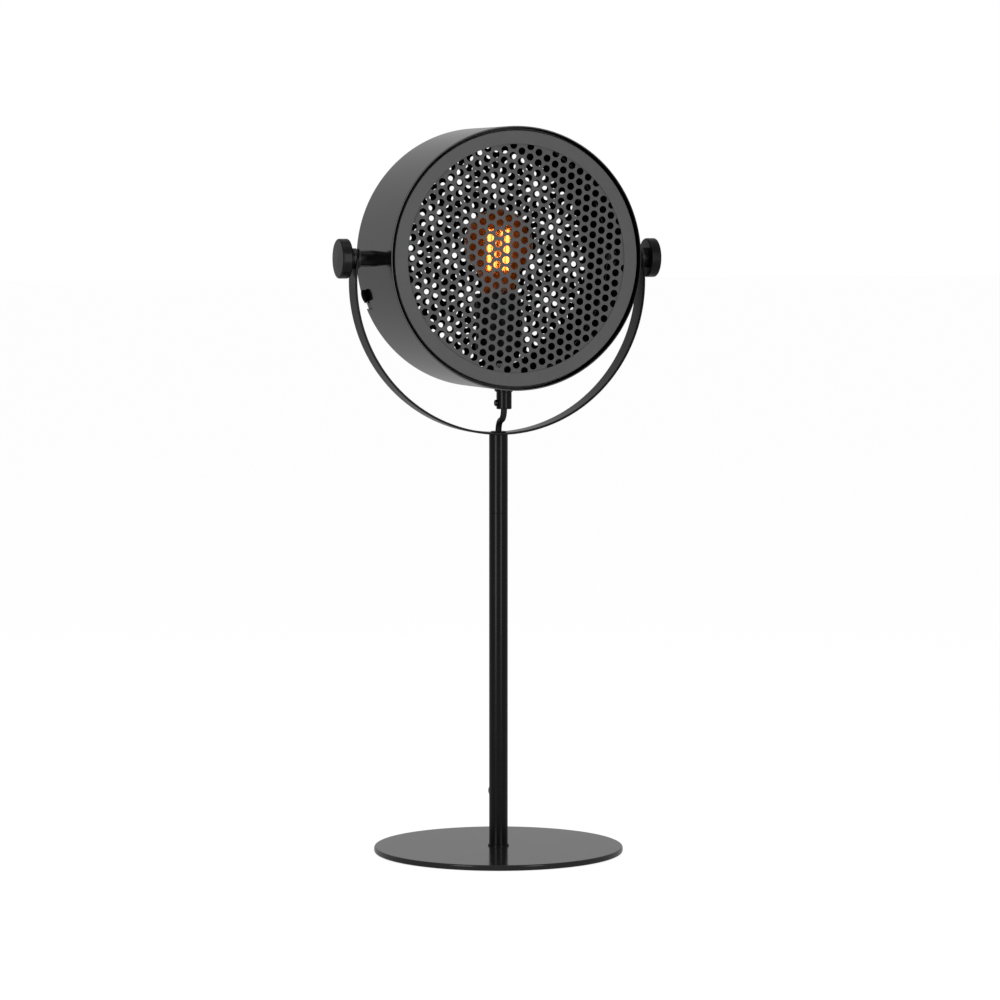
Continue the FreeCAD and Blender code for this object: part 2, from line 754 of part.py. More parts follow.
def make_holder_body():
    """Middle shell of the lampholder with an inner ledge under the insert."""
    radius = holder_diameter / 2
    body = tube(radius, radius - holder_wall, holder_body_height, point(0, 0, holder_body_bottom), Z_AXIS)
    ledge = tube(radius, radius - 2 * holder_wall, holder_wall, point(0, 0, holder_body_bottom), Z_AXIS)
    return body.fuse(ledge).removeSplitter()


def make_holder_skirt():
    """Top ring of the lampholder with its rim turned in round the bulb's neck."""
    radius = holder_diameter / 2
    skirt = tube(radius, radius - holder_wall, holder_skirt_height,
                 point(0, 0, holder_skirt_bottom), Z_AXIS)
    lip = tube(radius, holder_skirt_bore / 2 - holder_skirt_lip, holder_wall,
               point(0, 0, holder_top - holder_wall), Z_AXIS)
    skirt = skirt.fuse(lip).removeSplitter()
    return skirt.makeFillet(holder_wall / 2, top_edges(skirt, radius, holder_top))


def top_edges(shape, radius, level):
    """Return the circular edges of a radius that lie at a level."""
    return [edge for edge in circle_edges(shape, radius) if abs(edge.Curve.Center.z - level) < 1e-6]


def insert_radius():
    """Return the insert's radius inside the lampholder's body."""
    return holder_diameter / 2 - holder_wall - seat_gap


def make_holder_insert():
    """Ceramic insert that carries the contacts, on the body's inner ledge."""
    return tube(insert_radius(), holder_insert_bore / 2, holder_insert_height,
                point(0, 0, holder_insert_bottom), Z_AXIS)


def make_holder_contact():
    """Centre contact of the lampholder."""
    return rod(holder_contact_diameter / 2, holder_contact_height, point(0, 0, holder_insert_top), Z_AXIS)


def make_holder_thread():
    """Brass shell with the bulb's thread, standing on the insert."""
    inner = bulb_cap_diameter / 2 + holder_shell_gap
    length = bulb_cap_top - bulb_cap_cone_height - holder_insert_top
    return tube(inner + holder_shell_wall, inner, length, point(0, 0, holder_insert_top), Z_AXIS)


# ---------------------------------------------------------------- bulb pieces
def bulb_outline(inset):
    """Return the glass outline's edges, moved inward by an inset, from its top to its mouth."""
    radius = bulb_diameter / 2 - inset
    neck = bulb_neck_diameter / 2 - inset
    centre = bulb_top - bulb_diameter / 2
    neck_level = bulb_cap_top + bulb_neck_straight
    drop = centre - neck_level
    throat = (neck ** 2 + drop ** 2 - radius ** 2) / (2 * (radius - neck))
    join_angle = math.atan2(drop, neck + throat)
    ball_middle = (math.pi / 2 - join_angle) / 2
    ball = Part.Arc(
        point(0, 0, centre + radius),
        point(radius * math.cos(ball_middle), 0, centre + radius * math.sin(ball_middle)),
        point(radius * math.cos(join_angle), 0, centre - radius * math.sin(join_angle)))
    hollow_x = neck + throat
    hollow_middle = join_angle / 2
    hollow = Part.Arc(
        point(hollow_x - throat * math.cos(join_angle), 0, neck_level + throat * math.sin(join_angle)),
        point(hollow_x - throat * math.cos(hollow_middle), 0,
              neck_level + throat * math.sin(hollow_middle)),
        point(neck, 0, neck_level))
    mouth = Part.LineSegment(point(neck, 0, neck_level), point(neck, 0, bulb_cap_top))
    return [ball.toShape(), hollow.toShape(), mouth.toShape()]


def make_bulb_glass():
    """Pear-shaped glass with an even wall, open at its neck."""
    outer = bulb_outline(0)
    inner = bulb_outline(bulb_glass_wall)
    crown = Part.makeLine(point(0, 0, bulb_top), point(0, 0, bulb_top - bulb_glass_wall))
    neck = bulb_neck_diameter / 2
    rim = Part.makeLine(point(neck, 0, bulb_cap_top), point(neck - bulb_glass_wall, 0, bulb_cap_top))
    edges = Part.sortEdges(outer + inner + [crown, rim])[0]
    return Part.Face(Part.Wire(edges)).revolve(ORIGIN, Z_AXIS, 360)


def make_bulb_cap():
    """Screw cap of the bulb with its tip and a flared upper rim."""
    radius = bulb_cap_diameter / 2
    shell_bottom = bulb_cap_height - bulb_cap_shell_height
    outline = [
        (0, 0),
        (bulb_tip_diameter / 2, 0),
        (bulb_tip_diameter / 2 + bulb_tip_height / 2, bulb_tip_height),
        (radius - bulb_tip_height, shell_bottom - bulb_tip_height / 2),
        (radius, shell_bottom),
        (radius, bulb_cap_height - bulb_cap_cone_height),
        (bulb_neck_diameter / 2, bulb_cap_height),
        (0, bulb_cap_height),
    ]
    return turned(outline, point(0, 0, bulb_tip), Z_AXIS)


def filament_top():
    """Return the level of the filaments' upper ends."""
    return bulb_cap_top + filament_base_height + filament_length


def make_bulb_mount():
    """Glass flare and post on the cap, with the wires that hold the filaments."""
    flare = Part.makeCone(bulb_flare_diameter / 2, bulb_post_diameter / 2, bulb_flare_height,
                          point(0, 0, bulb_cap_top), Z_AXIS)
    post_length = filament_base_height + filament_length / 3
    mount = flare.fuse(rod(bulb_post_diameter / 2, post_length, point(0, 0, bulb_cap_top), Z_AXIS))
    level = bulb_cap_top + filament_base_height
    for index in range(filament_count):
        place = 2 * math.pi * (index + 0.5) / filament_count
        direction = point(math.cos(place), math.sin(place), 0)
        wire = rod(bulb_wire_thickness / 2, filament_circle_radius,
                   point(0, 0, level - bulb_wire_thickness / 2), direction)
        mount = mount.fuse(wire)
    return mount.removeSplitter()


def make_filament():
    """Upright light-giving rods on a circle, joined by a thin ring at the top."""
    ring = Part.makeTorus(filament_circle_radius, filament_ring_thickness / 2,
                          point(0, 0, filament_top()), Z_AXIS)
    for index in range(filament_count):
        place = 2 * math.pi * (index + 0.5) / filament_count
        x = filament_circle_radius * math.cos(place)
        y = filament_circle_radius * math.sin(place)
        stick = rod(filament_diameter / 2, filament_length,
                    point(x, y, bulb_cap_top + filament_base_height), Z_AXIS)
        ring = ring.fuse(stick)
    return ring


# ---------------------------------------------------------------- lead and its grip
def make_grip_body():
    """Cord grip under the drum: flange, body and a thread through the wall."""
    flange = rod(grip_flange_diameter / 2, grip_flange_thickness + 1.0,
                 point(0, -grip_forward, drum_bottom - grip_flange_thickness), Z_AXIS)
    body = rod(grip_diameter / 2, grip_length, point(0, -grip_forward, grip_bottom), Z_AXIS)
    outside = flange.fuse(body).cut(drum_cylinder(drum_radius))
    thread_top = grip_nut_level() + grip_nut_height
    thread = rod(grip_thread_diameter / 2, thread_top - grip_bottom - 1.0,
                 point(0, -grip_forward, grip_bottom + 1.0), Z_AXIS)
    bore = rod(grip_bore / 2, grip_length * 3, point(0, -grip_forward, grip_bottom - 1.0), Z_AXIS)
    screw_hole = rod(grip_screw_diameter / 2 + thread_gap, grip_diameter,
                     point(-grip_diameter, -grip_forward, grip_bottom + grip_screw_height), X_AXIS)
    return outside.fuse(thread).cut(bore).cut(screw_hole).removeSplitter()


def grip_nut_level():
    """Return the level of the grip nut's flat underside on the curved floor."""
    corner_radius = grip_nut_width / math.sqrt(3)
    return drum_floor + sagitta(drum_bore_radius, corner_radius)


def make_grip_nut():
    """Nut that holds the cord grip, inside the drum."""
    return hex_nut(grip_nut_width, grip_nut_height, grip_thread_diameter + 2 * thread_gap,
                   point(0, -grip_forward, grip_nut_level()), Z_AXIS)


def make_grip_screw():
    """Side screw of the cord grip, its end close to the lead."""
    level = grip_bottom + grip_screw_height
    head_start = -grip_diameter / 2 - grip_screw_head_height
    head = rod(grip_screw_head_diameter / 2, grip_screw_head_height,
               point(head_start, -grip_forward, level), X_AXIS)
    head = head.makeFillet(grip_screw_head_height / 3, left_edges(head, head_start))
    length = grip_diameter / 2 - lead_diameter / 2 - seat_gap
    shank = rod(grip_screw_diameter / 2, length, point(-grip_diameter / 2, -grip_forward, level), X_AXIS)
    return head.fuse(shank)


def left_edges(shape, x):
    """Return the circular edges that lie in the plane at an X position."""
    edges = circle_edges(shape, grip_screw_head_diameter / 2)
    return [edge for edge in edges if abs(edge.Curve.Center.x - x) < 1e-6]


def make_lead_in_head():
    """Lead inside the head: through the grip, sideways, and up the nipple."""
    bend_bottom = grip_nut_level() + grip_nut_height
    grip_run = lead_straight(-grip_forward, grip_bottom, bend_bottom)
    bend = lead_s_bend(-grip_forward, bend_bottom, 0, nipple_bottom())
    holder_run = lead_straight(0, nipple_bottom(), holder_body_bottom)
    return grip_run.fuse(bend).fuse(holder_run).removeSplitter()


def make_lead_span():
    """Free length of the lead between the stem's top and the cord grip."""
    return lead_s_bend(0, head_rim_top, -grip_forward, grip_bottom)


def make_lead_in_stem():
    """Lead down the stem and out through its rear wall."""
    bend_top = outlet_level + outlet_bend_radius
    run = lead_straight(0, bend_top, head_rim_top)
    bend = lead_bend(0, bend_top, outlet_bend_radius, bend_top, 90)
    end_y = stem_radius + outlet_flange_thickness
    tail = rod(lead_diameter / 2, end_y - outlet_bend_radius,
               point(0, outlet_bend_radius, outlet_level), Y_AXIS)
    return run.fuse(bend).fuse(tail).removeSplitter()


# ---------------------------------------------------------------- the whole lamp
def make_grille_set(prefix, outer_radius, face, inward, pattern, first_stud_angle):
    """Return the grille, retaining ring and nuts that go behind one bezel."""
    disc_radius = outer_radius - bezel_thickness - grille_edge_gap
    grille_face = face + inward.y * bezel_thickness
    ring_face = grille_face + inward.y * grille_thickness
    nut_face = ring_face + inward.y * retainer_thickness
    pieces = {
        prefix + "_grille": perforated_disc(disc_radius, grille_face, inward, pattern,
                                            first_stud_angle, outer_radius),
        prefix + "_retainer": retaining_ring(outer_radius, ring_face, inward, first_stud_angle),
    }
    for index in range(retainer_stud_count):
        name = prefix + "_nut_" + str(index + 1)
        pieces[name] = retainer_nut(index, outer_radius, nut_face, inward, first_stud_angle)
    return pieces


def make_pieces():
    """Return every piece of the lamp by its node name."""
    pieces = {
        "base_plate": make_base_plate(),
        "base_pad": make_base_pad(),
        "foot_screw": make_foot_screw(),
        "foot_socket": make_foot_socket(),
        "lower_stem": make_lower_stem(),
        "stem_connector": make_stem_connector(),
        "upper_stem": make_upper_stem(),
        "head_plug": make_head_plug(),
        "outlet_bush": make_outlet_bush(),
        "yoke": make_yoke(),
        "drum_shell": make_drum_shell(),
        "front_bezel": make_front_bezel(),
        "rear_bezel": make_rear_bezel(),
        "holder_bracket": make_holder_bracket(),
        "bracket_screw": make_bracket_screw(),
        "holder_nipple": make_holder_nipple(),
        "nipple_nut": make_nipple_nut(),
        "holder_dome": make_holder_dome(),
        "holder_body": make_holder_body(),
        "holder_skirt": make_holder_skirt(),
        "holder_insert": make_holder_insert(),
        "holder_contact": make_holder_contact(),
        "holder_thread": make_holder_thread(),
        "bulb_cap": make_bulb_cap(),
        "bulb_glass": make_bulb_glass(),
        "bulb_mount": make_bulb_mount(),
        "bulb_filament": make_filament(),
        "grip_body": make_grip_body(),
        "grip_nut": make_grip_nut(),
        "grip_screw": make_grip_screw(),
        "lead_in_stem": make_lead_in_stem(),
        "lead_span": make_lead_span(),
        "lead_in_head": make_lead_in_head(),
    }
    for name, side in (("left", -1), ("right", 1)):
        pieces["stud_" + name] = make_stud(side)
        pieces["stud_nut_" + name] = make_stud_nut(side)
        pieces["spacer_" + name] = make_spacer(side)
        pieces["outer_washer_" + name] = make_outer_washer(side)
        pieces["inner_washer_" + name] = make_inner_washer(side)
        pieces["knob_" + name] = make_knob(side)
    for index, angle in enumerate(cover_screw_angles()):
        pieces["cover_screw_" + str(index + 1)] = make_cover_screw(angle)
    front_pattern = (front_hole_diameter, front_grille_angle, front_grille_across, front_grille_up)
    rear_pattern = (rear_hole_diameter, rear_grille_angle, rear_grille_across, rear_grille_up)
    pieces.update(make_grille_set("front", bezel_outer_radius, bezel_front, Y_AXIS,
                                  front_pattern, front_stud_angle))
    pieces.update(make_grille_set("rear", cover_outer_radius, cover_rear, -Y_AXIS,
                                  rear_pattern, rear_stud_angle))
    return pieces


os.makedirs("parts", exist_ok=True)
for node_name, shape in make_pieces().items():
    shape.exportStep("parts/" + node_name + ".step")
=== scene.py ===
"""Tabletop searchlight lamp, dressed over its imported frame.

A drum head with perforated faces hangs in a C-shaped yoke on a slim stem and a round base.
Lengths are metres, +Z is up, the drum faces -Y and the yoke's pivots lie along X.
"""

from __future__ import annotations

import json
import logging
import math
from dataclasses import dataclass, field
from enum import Enum
from typing import Any, Callable, Sequence

import bmesh
import bpy
from mathutils import Matrix, Vector

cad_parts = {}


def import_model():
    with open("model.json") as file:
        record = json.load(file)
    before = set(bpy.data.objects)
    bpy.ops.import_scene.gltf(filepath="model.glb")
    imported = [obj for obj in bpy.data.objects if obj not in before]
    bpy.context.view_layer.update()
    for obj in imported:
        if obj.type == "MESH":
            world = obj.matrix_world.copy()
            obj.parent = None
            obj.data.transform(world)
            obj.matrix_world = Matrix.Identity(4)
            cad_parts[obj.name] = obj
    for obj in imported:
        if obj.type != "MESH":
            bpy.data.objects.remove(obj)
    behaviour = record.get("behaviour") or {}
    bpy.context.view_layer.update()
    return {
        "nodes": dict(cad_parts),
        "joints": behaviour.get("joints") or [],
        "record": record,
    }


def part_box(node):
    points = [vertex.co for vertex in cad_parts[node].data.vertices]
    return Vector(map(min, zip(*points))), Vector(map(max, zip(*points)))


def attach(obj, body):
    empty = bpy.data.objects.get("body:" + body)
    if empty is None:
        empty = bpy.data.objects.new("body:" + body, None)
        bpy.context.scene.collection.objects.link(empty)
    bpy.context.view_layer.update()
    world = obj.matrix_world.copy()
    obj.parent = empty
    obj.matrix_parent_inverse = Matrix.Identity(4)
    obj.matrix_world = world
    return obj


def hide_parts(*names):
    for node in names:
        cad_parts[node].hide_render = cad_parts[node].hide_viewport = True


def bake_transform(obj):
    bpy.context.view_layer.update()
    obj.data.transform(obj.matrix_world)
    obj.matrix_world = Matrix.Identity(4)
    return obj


LOG = logging.getLogger("searchlight")
MM = 0.001
FULL_TURN = 2 * math.pi
QUARTER_TURN = math.pi / 2

# Roundings of small edges.
CRISP_EDGE = 0.2 * MM
FINE_EDGE = 0.3 * MM
SOFT_EDGE = 0.4 * MM
FULL_EDGE = 0.5 * MM

X_AXIS = Vector((1, 0, 0))
Y_AXIS = Vector((0, 1, 0))
Z_AXIS = Vector((0, 0, 1))

Mesh = bpy.types.Mesh
Node = bpy.types.Node
Piece = bpy.types.Object
Socket = bpy.types.NodeSocket
Tree = bpy.types.NodeTree
Colour = tuple[float, float, float]
Pair = tuple[float, float]


class Named(Enum):
    """A choice whose name is also a word in the node names."""

    @property
    def word(self) -> str:
        """The choice's name in the node names."""
        return self.name.lower()


class Side(Named):
    """The two pivots of the yoke; the value is the sign of their X."""

    LEFT = -1
    RIGHT = 1


class Face(Named):
    """The two perforated faces of the drum; the value is the sign of their Y."""

    FRONT = -1
    REAR = 1


# ---- node trees
SOCKET_KINDS = {float: "NodeSocketFloat", int: "NodeSocketInt", type(None): "NodeSocketMaterial"}

# The paint's orange peel against its grain, and the pattern of handling marks.
PEEL_SCALE = 0.22
MARKS_PER_METRE = 34.0
MARK_ROUGHNESS = 0.62
MARK_START = 0.5
MARK_FULL = 0.78


class Graph:
    """Adds nodes to a shader or geometry tree and joins them up."""

    def __init__(self, tree: Tree) -> None:
        """Keep the tree that nodes are added to."""
        self.tree = tree

    def add(self, kind: str, inputs: dict[str | int, Any] | None = None, **settings: Any) -> Node:
        """Add one node.

        Args:
            kind: The node's type name.
            inputs: Values or sockets for its inputs, by name or index.
            settings: Properties of the node itself.

        Returns:
            The new node.
        """
        node = self.tree.nodes.new(kind)
        for name, value in settings.items():
            setattr(node, name, value)
        for key, value in (inputs or {}).items():
            if isinstance(value, Socket):
                self.tree.links.new(value, node.inputs[key])
            else:
                node.inputs[key].default_value = value
        return node

    def math(self, operation: str, first: Any, second: Any = 0.0) -> Socket:
        """Return the result of a Math node."""
        return self.add("ShaderNodeMath", {0: first, 1: second}, operation=operation).outputs[0]

    def mix(self, mask: Socket, dark: Colour, light: Colour) -> Socket:
        """Return a colour that goes from one to another as a mask goes from 0 to 1."""
        inputs = {0: mask, 6: (*dark, 1.0), 7: (*light, 1.0)}
        return self.add("ShaderNodeMix", inputs, data_type="RGBA").outputs[2]

    def noise(self, place: Socket, scale: Any, detail: float, roughness: float = 0.5) -> Socket:
        """Return a noise pattern over the places of a surface."""
        inputs = {"Vector": place, "Scale": scale, "Detail": detail, "Roughness": roughness}
        return self.add("ShaderNodeTexNoise", inputs).outputs[0]

    def vector(self, **parts: Any) -> Socket:
        """Return a vector from its X, Y and Z, each 0 unless it is given."""
        return self.add("ShaderNodeCombineXYZ", parts).outputs[0]

    def grow(self, kind: str, inputs: dict[str | int, Any] | None = None) -> Socket:
        """Return what a geometry node makes, its type named without the prefix."""
        return self.add("GeometryNode" + kind, inputs).outputs[0]

    def circle(self, sides: Any, radius: Any) -> Socket:
        """Return a circle as a curve."""
        return self.grow("CurvePrimitiveCircle", {"Resolution": sides, "Radius": radius})

    def bar(self, sides: Any, radius: Any, length: Any, middle: Any) -> Socket:
        """Return an upright bar whose middle lies at a height on Z."""
        made = self.grow("MeshCylinder", {"Vertices": sides, "Radius": radius, "Depth": length})
        return self.grow("Transform", {"Geometry": made, "Translation": self.vector(Z=middle)})

    def join(self, *shapes: Socket) -> Socket:
        """Return shapes joined into one geometry.

        Args:
            shapes: The geometries, in order.

        Returns:
            The joined geometry.
        """
        together = self.add("GeometryNodeJoinGeometry")
        for shape in shapes:
            self.link(shape, together.inputs[0])
        return together.outputs[0]

    def link(self, source: Socket, target: Socket) -> None:
        """Join two sockets."""
        self.tree.links.new(source, target)


def new_tree(name: str, kind: str, inputs: dict[str, float | int | None], outputs: dict[str, str]) -> Tree:
    """Make a node group with named sockets.

    Args:
        name: The group's name.
        kind: "ShaderNodeTree" or "GeometryNodeTree".
        inputs: Default value by input name, or None for a material.
        outputs: Socket kind by output name.

    Returns:
        The empty group with its interface.
    """
    tree = bpy.data.node_groups.new(name, kind)
    for label, default in inputs.items():
        value_kind = SOCKET_KINDS[type(default)]
        made = tree.interface.new_socket(name=label, in_out="INPUT", socket_type=value_kind)
        if default is not None:
            made.default_value = default
    for label, socket in outputs.items():
        tree.interface.new_socket(name=label, in_out="OUTPUT", socket_type="NodeSocket" + socket)
    return tree


def surface_skin() -> Tree:
    """Shader group: the fine unevenness that paint, plastic and plated metal all have.

    Returns:
        A group that puts out a height for a Bump node, a roughness, and a mask of handling marks.
    """
    name = "surface_skin"
    if name in bpy.data.node_groups:
        return bpy.data.node_groups[name]
    inputs = {
        "Grain per Metre": 900.0, "Grain Depth": 0.5, "Base Roughness": 0.3, "Roughness Spread": 0.05,
        "Mark Amount": 0.3,
    }
    outputs = {"Height": "Float", "Roughness": "Float", "Marks": "Float"}
    graph = Graph(new_tree(name, "ShaderNodeTree", inputs, outputs))
    given = graph.add("NodeGroupInput").outputs
    place = graph.add("ShaderNodeTexCoord").outputs["Object"]
    fine_scale = given["Grain per Metre"]
    grain = graph.noise(place, fine_scale, 3.0)
    peel = graph.noise(place, graph.math("MULTIPLY", fine_scale, PEEL_SCALE), 1.0)
    marks = graph.noise(place, MARKS_PER_METRE, 5.0, MARK_ROUGHNESS)
    smear_range = {"Value": marks, 1: MARK_START, 2: MARK_FULL, 3: 0.0, 4: 1.0}
    smears = graph.add("ShaderNodeMapRange", smear_range).outputs[0]
    faint = graph.math("MULTIPLY", smears, given["Mark Amount"])
    height = graph.math("MULTIPLY", graph.math("ADD", grain, peel), given["Grain Depth"])
    centred = graph.math("SUBTRACT", peel, 0.5)
    drift = graph.math("MULTIPLY", graph.math("ADD", centred, faint), given["Roughness Spread"])
    rough = graph.math("ADD", given["Base Roughness"], drift)
    graph.add("NodeGroupOutput", {"Height": height, "Roughness": rough, "Marks": faint})
    return graph.tree


# ---- finishes
@dataclass(frozen=True)
class Finish:
    """What every finish shares: its names and the unevenness of its surface."""

    name: str
    slot: str
    colour: Colour = (0.02, 0.02, 0.02)
    roughness: float = 0.3
    grain_per_metre: float = 900.0
    grain_depth: float = 0.5
    roughness_spread: float = 0.05
    mark_amount: float = 0.3
    bump_strength: float = 0.05
    bump_distance: float = 0.1 * MM

    def material(self) -> bpy.types.Material:
        """Make the finish's material the first time, and look it up after that.

        Returns:
            The material.
        """
        if self.name in bpy.data.materials:
            return bpy.data.materials[self.name]
        made = bpy.data.materials.new(self.name)
        made.use_nodes = True
        graph = Graph(made.node_tree)
        shader = made.node_tree.nodes["Principled BSDF"]
        skin_values = {
            "Grain per Metre": self.grain_per_metre, "Grain Depth": self.grain_depth,
            "Base Roughness": self.roughness, "Roughness Spread": self.roughness_spread,
            "Mark Amount": self.mark_amount,
        }
        skin = graph.add("ShaderNodeGroup", skin_values, node_tree=surface_skin())
        bump = graph.add("ShaderNodeBump", {
            "Height": skin.outputs["Height"],
            "Strength": self.bump_strength,
            "Distance": self.bump_distance,
        })
        graph.link(skin.outputs["Roughness"], shader.inputs["Roughness"])
        graph.link(bump.outputs[0], shader.inputs["Normal"])
        shader.inputs["Base Color"].default_value = (*self.colour, 1.0)
        self.dress(graph, shader, skin)
        return made

    def dress(self, graph: Graph, shader: Node, skin: Node) -> None:
        """Add what makes this finish its own; the plain one adds nothing."""


@dataclass(frozen=True)
class Paint(Finish):
    """Sprayed black paint, its gloss set by the index of its surface."""

    index: float = 1.2
    mark_tone: float = 0.01

    def dress(self, graph: Graph, shader: Node, skin: Node) -> None:
        """Set the gloss and let handling marks lighten the surface a little.

        Args:
            graph: The material's graph.
            shader: Its Principled BSDF.
            skin: Its surface_skin node.
        """
        shader.inputs["IOR"].default_value = self.index
        lighter = tuple(channel + self.mark_tone for channel in self.colour)
        graph.link(graph.mix(skin.outputs["Marks"], self.colour, lighter), shader.inputs["Base Color"])


@dataclass(frozen=True)
class Plastic(Paint):
    """Moulded plastic or rubber with a fine sparked grain, marked as paint is."""

    index: float = 1.46
    mark_tone: float = 0.012


@dataclass(frozen=True)
class Metal(Finish):
    """Plated or bare metal."""

    tarnish: Colour = (0.35, 0.33, 0.3)

    def dress(self, graph: Graph, shader: Node, skin: Node) -> None:
        """Make the surface metallic and dull it in its marks."""
        shader.inputs["Metallic"].default_value = 1.0
        graph.link(graph.mix(skin.outputs["Marks"], self.colour, self.tarnish), shader.inputs["Base Color"])


@dataclass(frozen=True)
class Glass(Finish):
    """Blown glass, tinted through its thickness."""

    index: float = 1.5

    def dress(self, graph: Graph, shader: Node, skin: Node) -> None:
        """Let light through."""
        shader.inputs["IOR"].default_value = self.index
        shader.inputs["Transmission Weight"].default_value = 1.0


@dataclass(frozen=True)
class Glow(Finish):
    """Yellow phosphor on a filament stick, lit by the small chips under it."""

    core: Colour = (1.0, 0.58, 0.36)
    between: Colour = (1.0, 0.42, 0.12)
    strength: float = 20.0
    chips_per_metre: float = 620.0

    def dress(self, graph: Graph, shader: Node, skin: Node) -> None:
        """Make the stick glow, a little weaker between its chips.

        Args:
            graph: The material's graph.
            shader: Its Principled BSDF.
            skin: Its surface_skin node; not used.
        """
        place = graph.add("ShaderNodeTexCoord").outputs["Object"]
        bands = graph.add("ShaderNodeTexWave", {"Vector": place, "Scale": self.chips_per_metre / FULL_TURN},
                          wave_type="BANDS", bands_direction="Z")
        graph.link(graph.mix(bands.outputs[1], self.between, self.core), shader.inputs["Emission Color"])
        shader.inputs["Emission Strength"].default_value = self.strength


# Name, slot, colour, roughness, grain per metre and its depth, roughness spread, marks, bump strength.
WALL_PAINT = Paint("black_wall_paint", "black_paint", (0.0035, 0.0035, 0.0038), 0.13, 700.0, 0.6, 0.05,
                   0.25, 0.035, index=1.44)
STEM_PAINT = Paint("black_stem_paint", "black_paint", (0.0030, 0.0030, 0.0032), 0.2, 900.0, 0.6, 0.06, 0.3,
                   0.05, index=1.28)
YOKE_PAINT = Paint("black_yoke_paint", "black_paint", (0.0030, 0.0030, 0.0032), 0.2, 900.0, 0.6, 0.06, 0.3,
                   0.05, index=1.18)
BASE_PAINT = Paint("black_base_paint", "black_paint", (0.012, 0.012, 0.0123), 0.14, 600.0, 0.6, 0.05, 0.35,
                   0.03, index=1.39)
RING_PAINT = Paint("satin_ring_paint", "black_paint", (0.102, 0.102, 0.104), 0.42, 1400.0, 0.7, 0.1, 0.4,
                   0.12, mark_tone=0.02)
GRILLE_PAINT = Paint("satin_grille_paint", "grille_paint", (0.095, 0.095, 0.097), 0.45, 1500.0, 0.7, 0.1,
                     0.4, 0.12, mark_tone=0.02)
# A matt black that stands for the shade inside the drum. It is painted shade on the wall's inner face, the
# sheets' backs and hole walls, the rings' inner flanges, the clamping rings and the holder bracket. It also
# colours the bulb's thin dark ring and the carried black nodes.
SHADE_AND_WIRE_BLACK = Paint("inner_black_paint", "black_paint", (0.003, 0.003, 0.003), 0.6, 1200.0, 0.6, 0.1, 0.3,
                    0.1, index=1.05, mark_tone=0.002)
KNOB_PLASTIC = Plastic("moulded_knob", "knob_plastic", (0.006, 0.006, 0.0065), 0.25, 2600.0, 0.7, 0.08, 0.4,
                       0.05, index=1.27, mark_tone=0.006)
HOLDER_PLASTIC = Plastic("moulded_holder", "holder_plastic", (0.008, 0.008, 0.0085), 0.3, 1800.0, 0.6, 0.08,
                         0.3, 0.08, index=1.2, mark_tone=0.004)
LEAD_SHEATH = Plastic("round_sheath", "lead_sheath", (0.006, 0.006, 0.006), 0.42, 2200.0, 0.8, 0.1, 0.4,
                      0.12, index=1.35)
BUSH_RUBBER = Plastic("soft_bush", "bush_rubber", (0.015, 0.015, 0.015), 0.6, 2200.0, 0.8, 0.1, 0.4, 0.2)
PAD_FOAM = Plastic("black_foam", "pad_foam", (0.03, 0.03, 0.03), 0.95, 1600.0, 1.0, 0.05, 0.3, 0.9,
                   0.3 * MM)
WASHER_PLASTIC = Plastic("moulded_washer", "washer_plastic", (0.01, 0.01, 0.01), 0.4, 2200.0, 0.6, 0.08,
                         0.3, 0.1)
ZINC = Metal("zinc_plate", "zinc_steel", (0.1, 0.1, 0.105), 0.4, 2200.0, 0.6, 0.12, 0.6, 0.12)
BRASS = Metal("turned_brass", "contact_brass", (0.72, 0.53, 0.24), 0.3, 2200.0, 0.6, 0.12, 0.6, 0.1,
              tarnish=(0.4, 0.26, 0.1))
NICKEL = Metal("nickel_plate", "cap_nickel", (0.66, 0.62, 0.55), 0.24, 1800.0, 0.6, 0.1, 0.5, 0.08)
CERAMIC = Plastic("glazed_ceramic", "insert_ceramic", (0.8, 0.78, 0.73), 0.25, 900.0, 0.5, 0.06, 0.3, 0.05,
                  mark_tone=-0.08)
AMBER_GLASS = Glass("tinted_glass", "amber_glass", (0.6, 0.26, 0.08), 0.25, 120.0, 0.5, 0.01, 0.4, 0.02,
                    index=1.3)
CLEAR_GLASS = Glass("plain_glass", "mount_glass", (0.95, 0.93, 0.88), 0.02, 300.0, 0.5, 0.01, 0.4, 0.04)
FILAMENT_GLOW = Glow("lit_phosphor", "filament_glow", (1.0, 0.72, 0.25), 0.6, 2000.0, 0.6, 0.05, 0.2, 0.1)
CARRIED_FINISHES = (SHADE_AND_WIRE_BLACK, KNOB_PLASTIC, HOLDER_PLASTIC, LEAD_SHEATH, BUSH_RUBBER, PAD_FOAM,
                    WASHER_PLASTIC, ZINC, BRASS, NICKEL, CERAMIC, AMBER_GLASS, CLEAR_GLASS, FILAMENT_GLOW,
                    GRILLE_PAINT)


# ---- turned shapes
# Steps in a quarter turn of a rounding, faces round a turned piece, and how far two directions that
# count as one may differ, as 1 minus a cosine.
ARC_STEPS = 5
PLAIN_TURN = 128
SAME_DIRECTION = 0.004


@dataclass(frozen=True)
class Corner:
    """A corner of a turned outline, with the radius that rounds it."""

    radius: float
    height: float
    rounding: float = 0.0


@dataclass(frozen=True)
class RimPoint:
    """A point of a finished outline with the surface's direction before and after it."""

    radius: float
    height: float
    normal_before: Pair
    normal_after: Pair


def rod(radius: float, length: float, edge: float = 0.0) -> list[Corner]:
    """Return the outline of a plain round bar."""
    return [Corner(0, 0), Corner(radius, 0, edge), Corner(radius, length, edge), Corner(0, length)]


def pipe(inner: float, outer: float, length: float, edge: float) -> list[Corner]:
    """Return the outline of a plain tube."""
    return [Corner(inner, 0, edge), Corner(outer, 0, edge), Corner(outer, length, edge),
            Corner(inner, length, edge)]


def heading(start: Corner, end: Corner) -> Pair:
    """Return the unit direction from one corner to the next, as radius and height."""
    across, up = end.radius - start.radius, end.height - start.height
    return across / math.hypot(across, up), up / math.hypot(across, up)


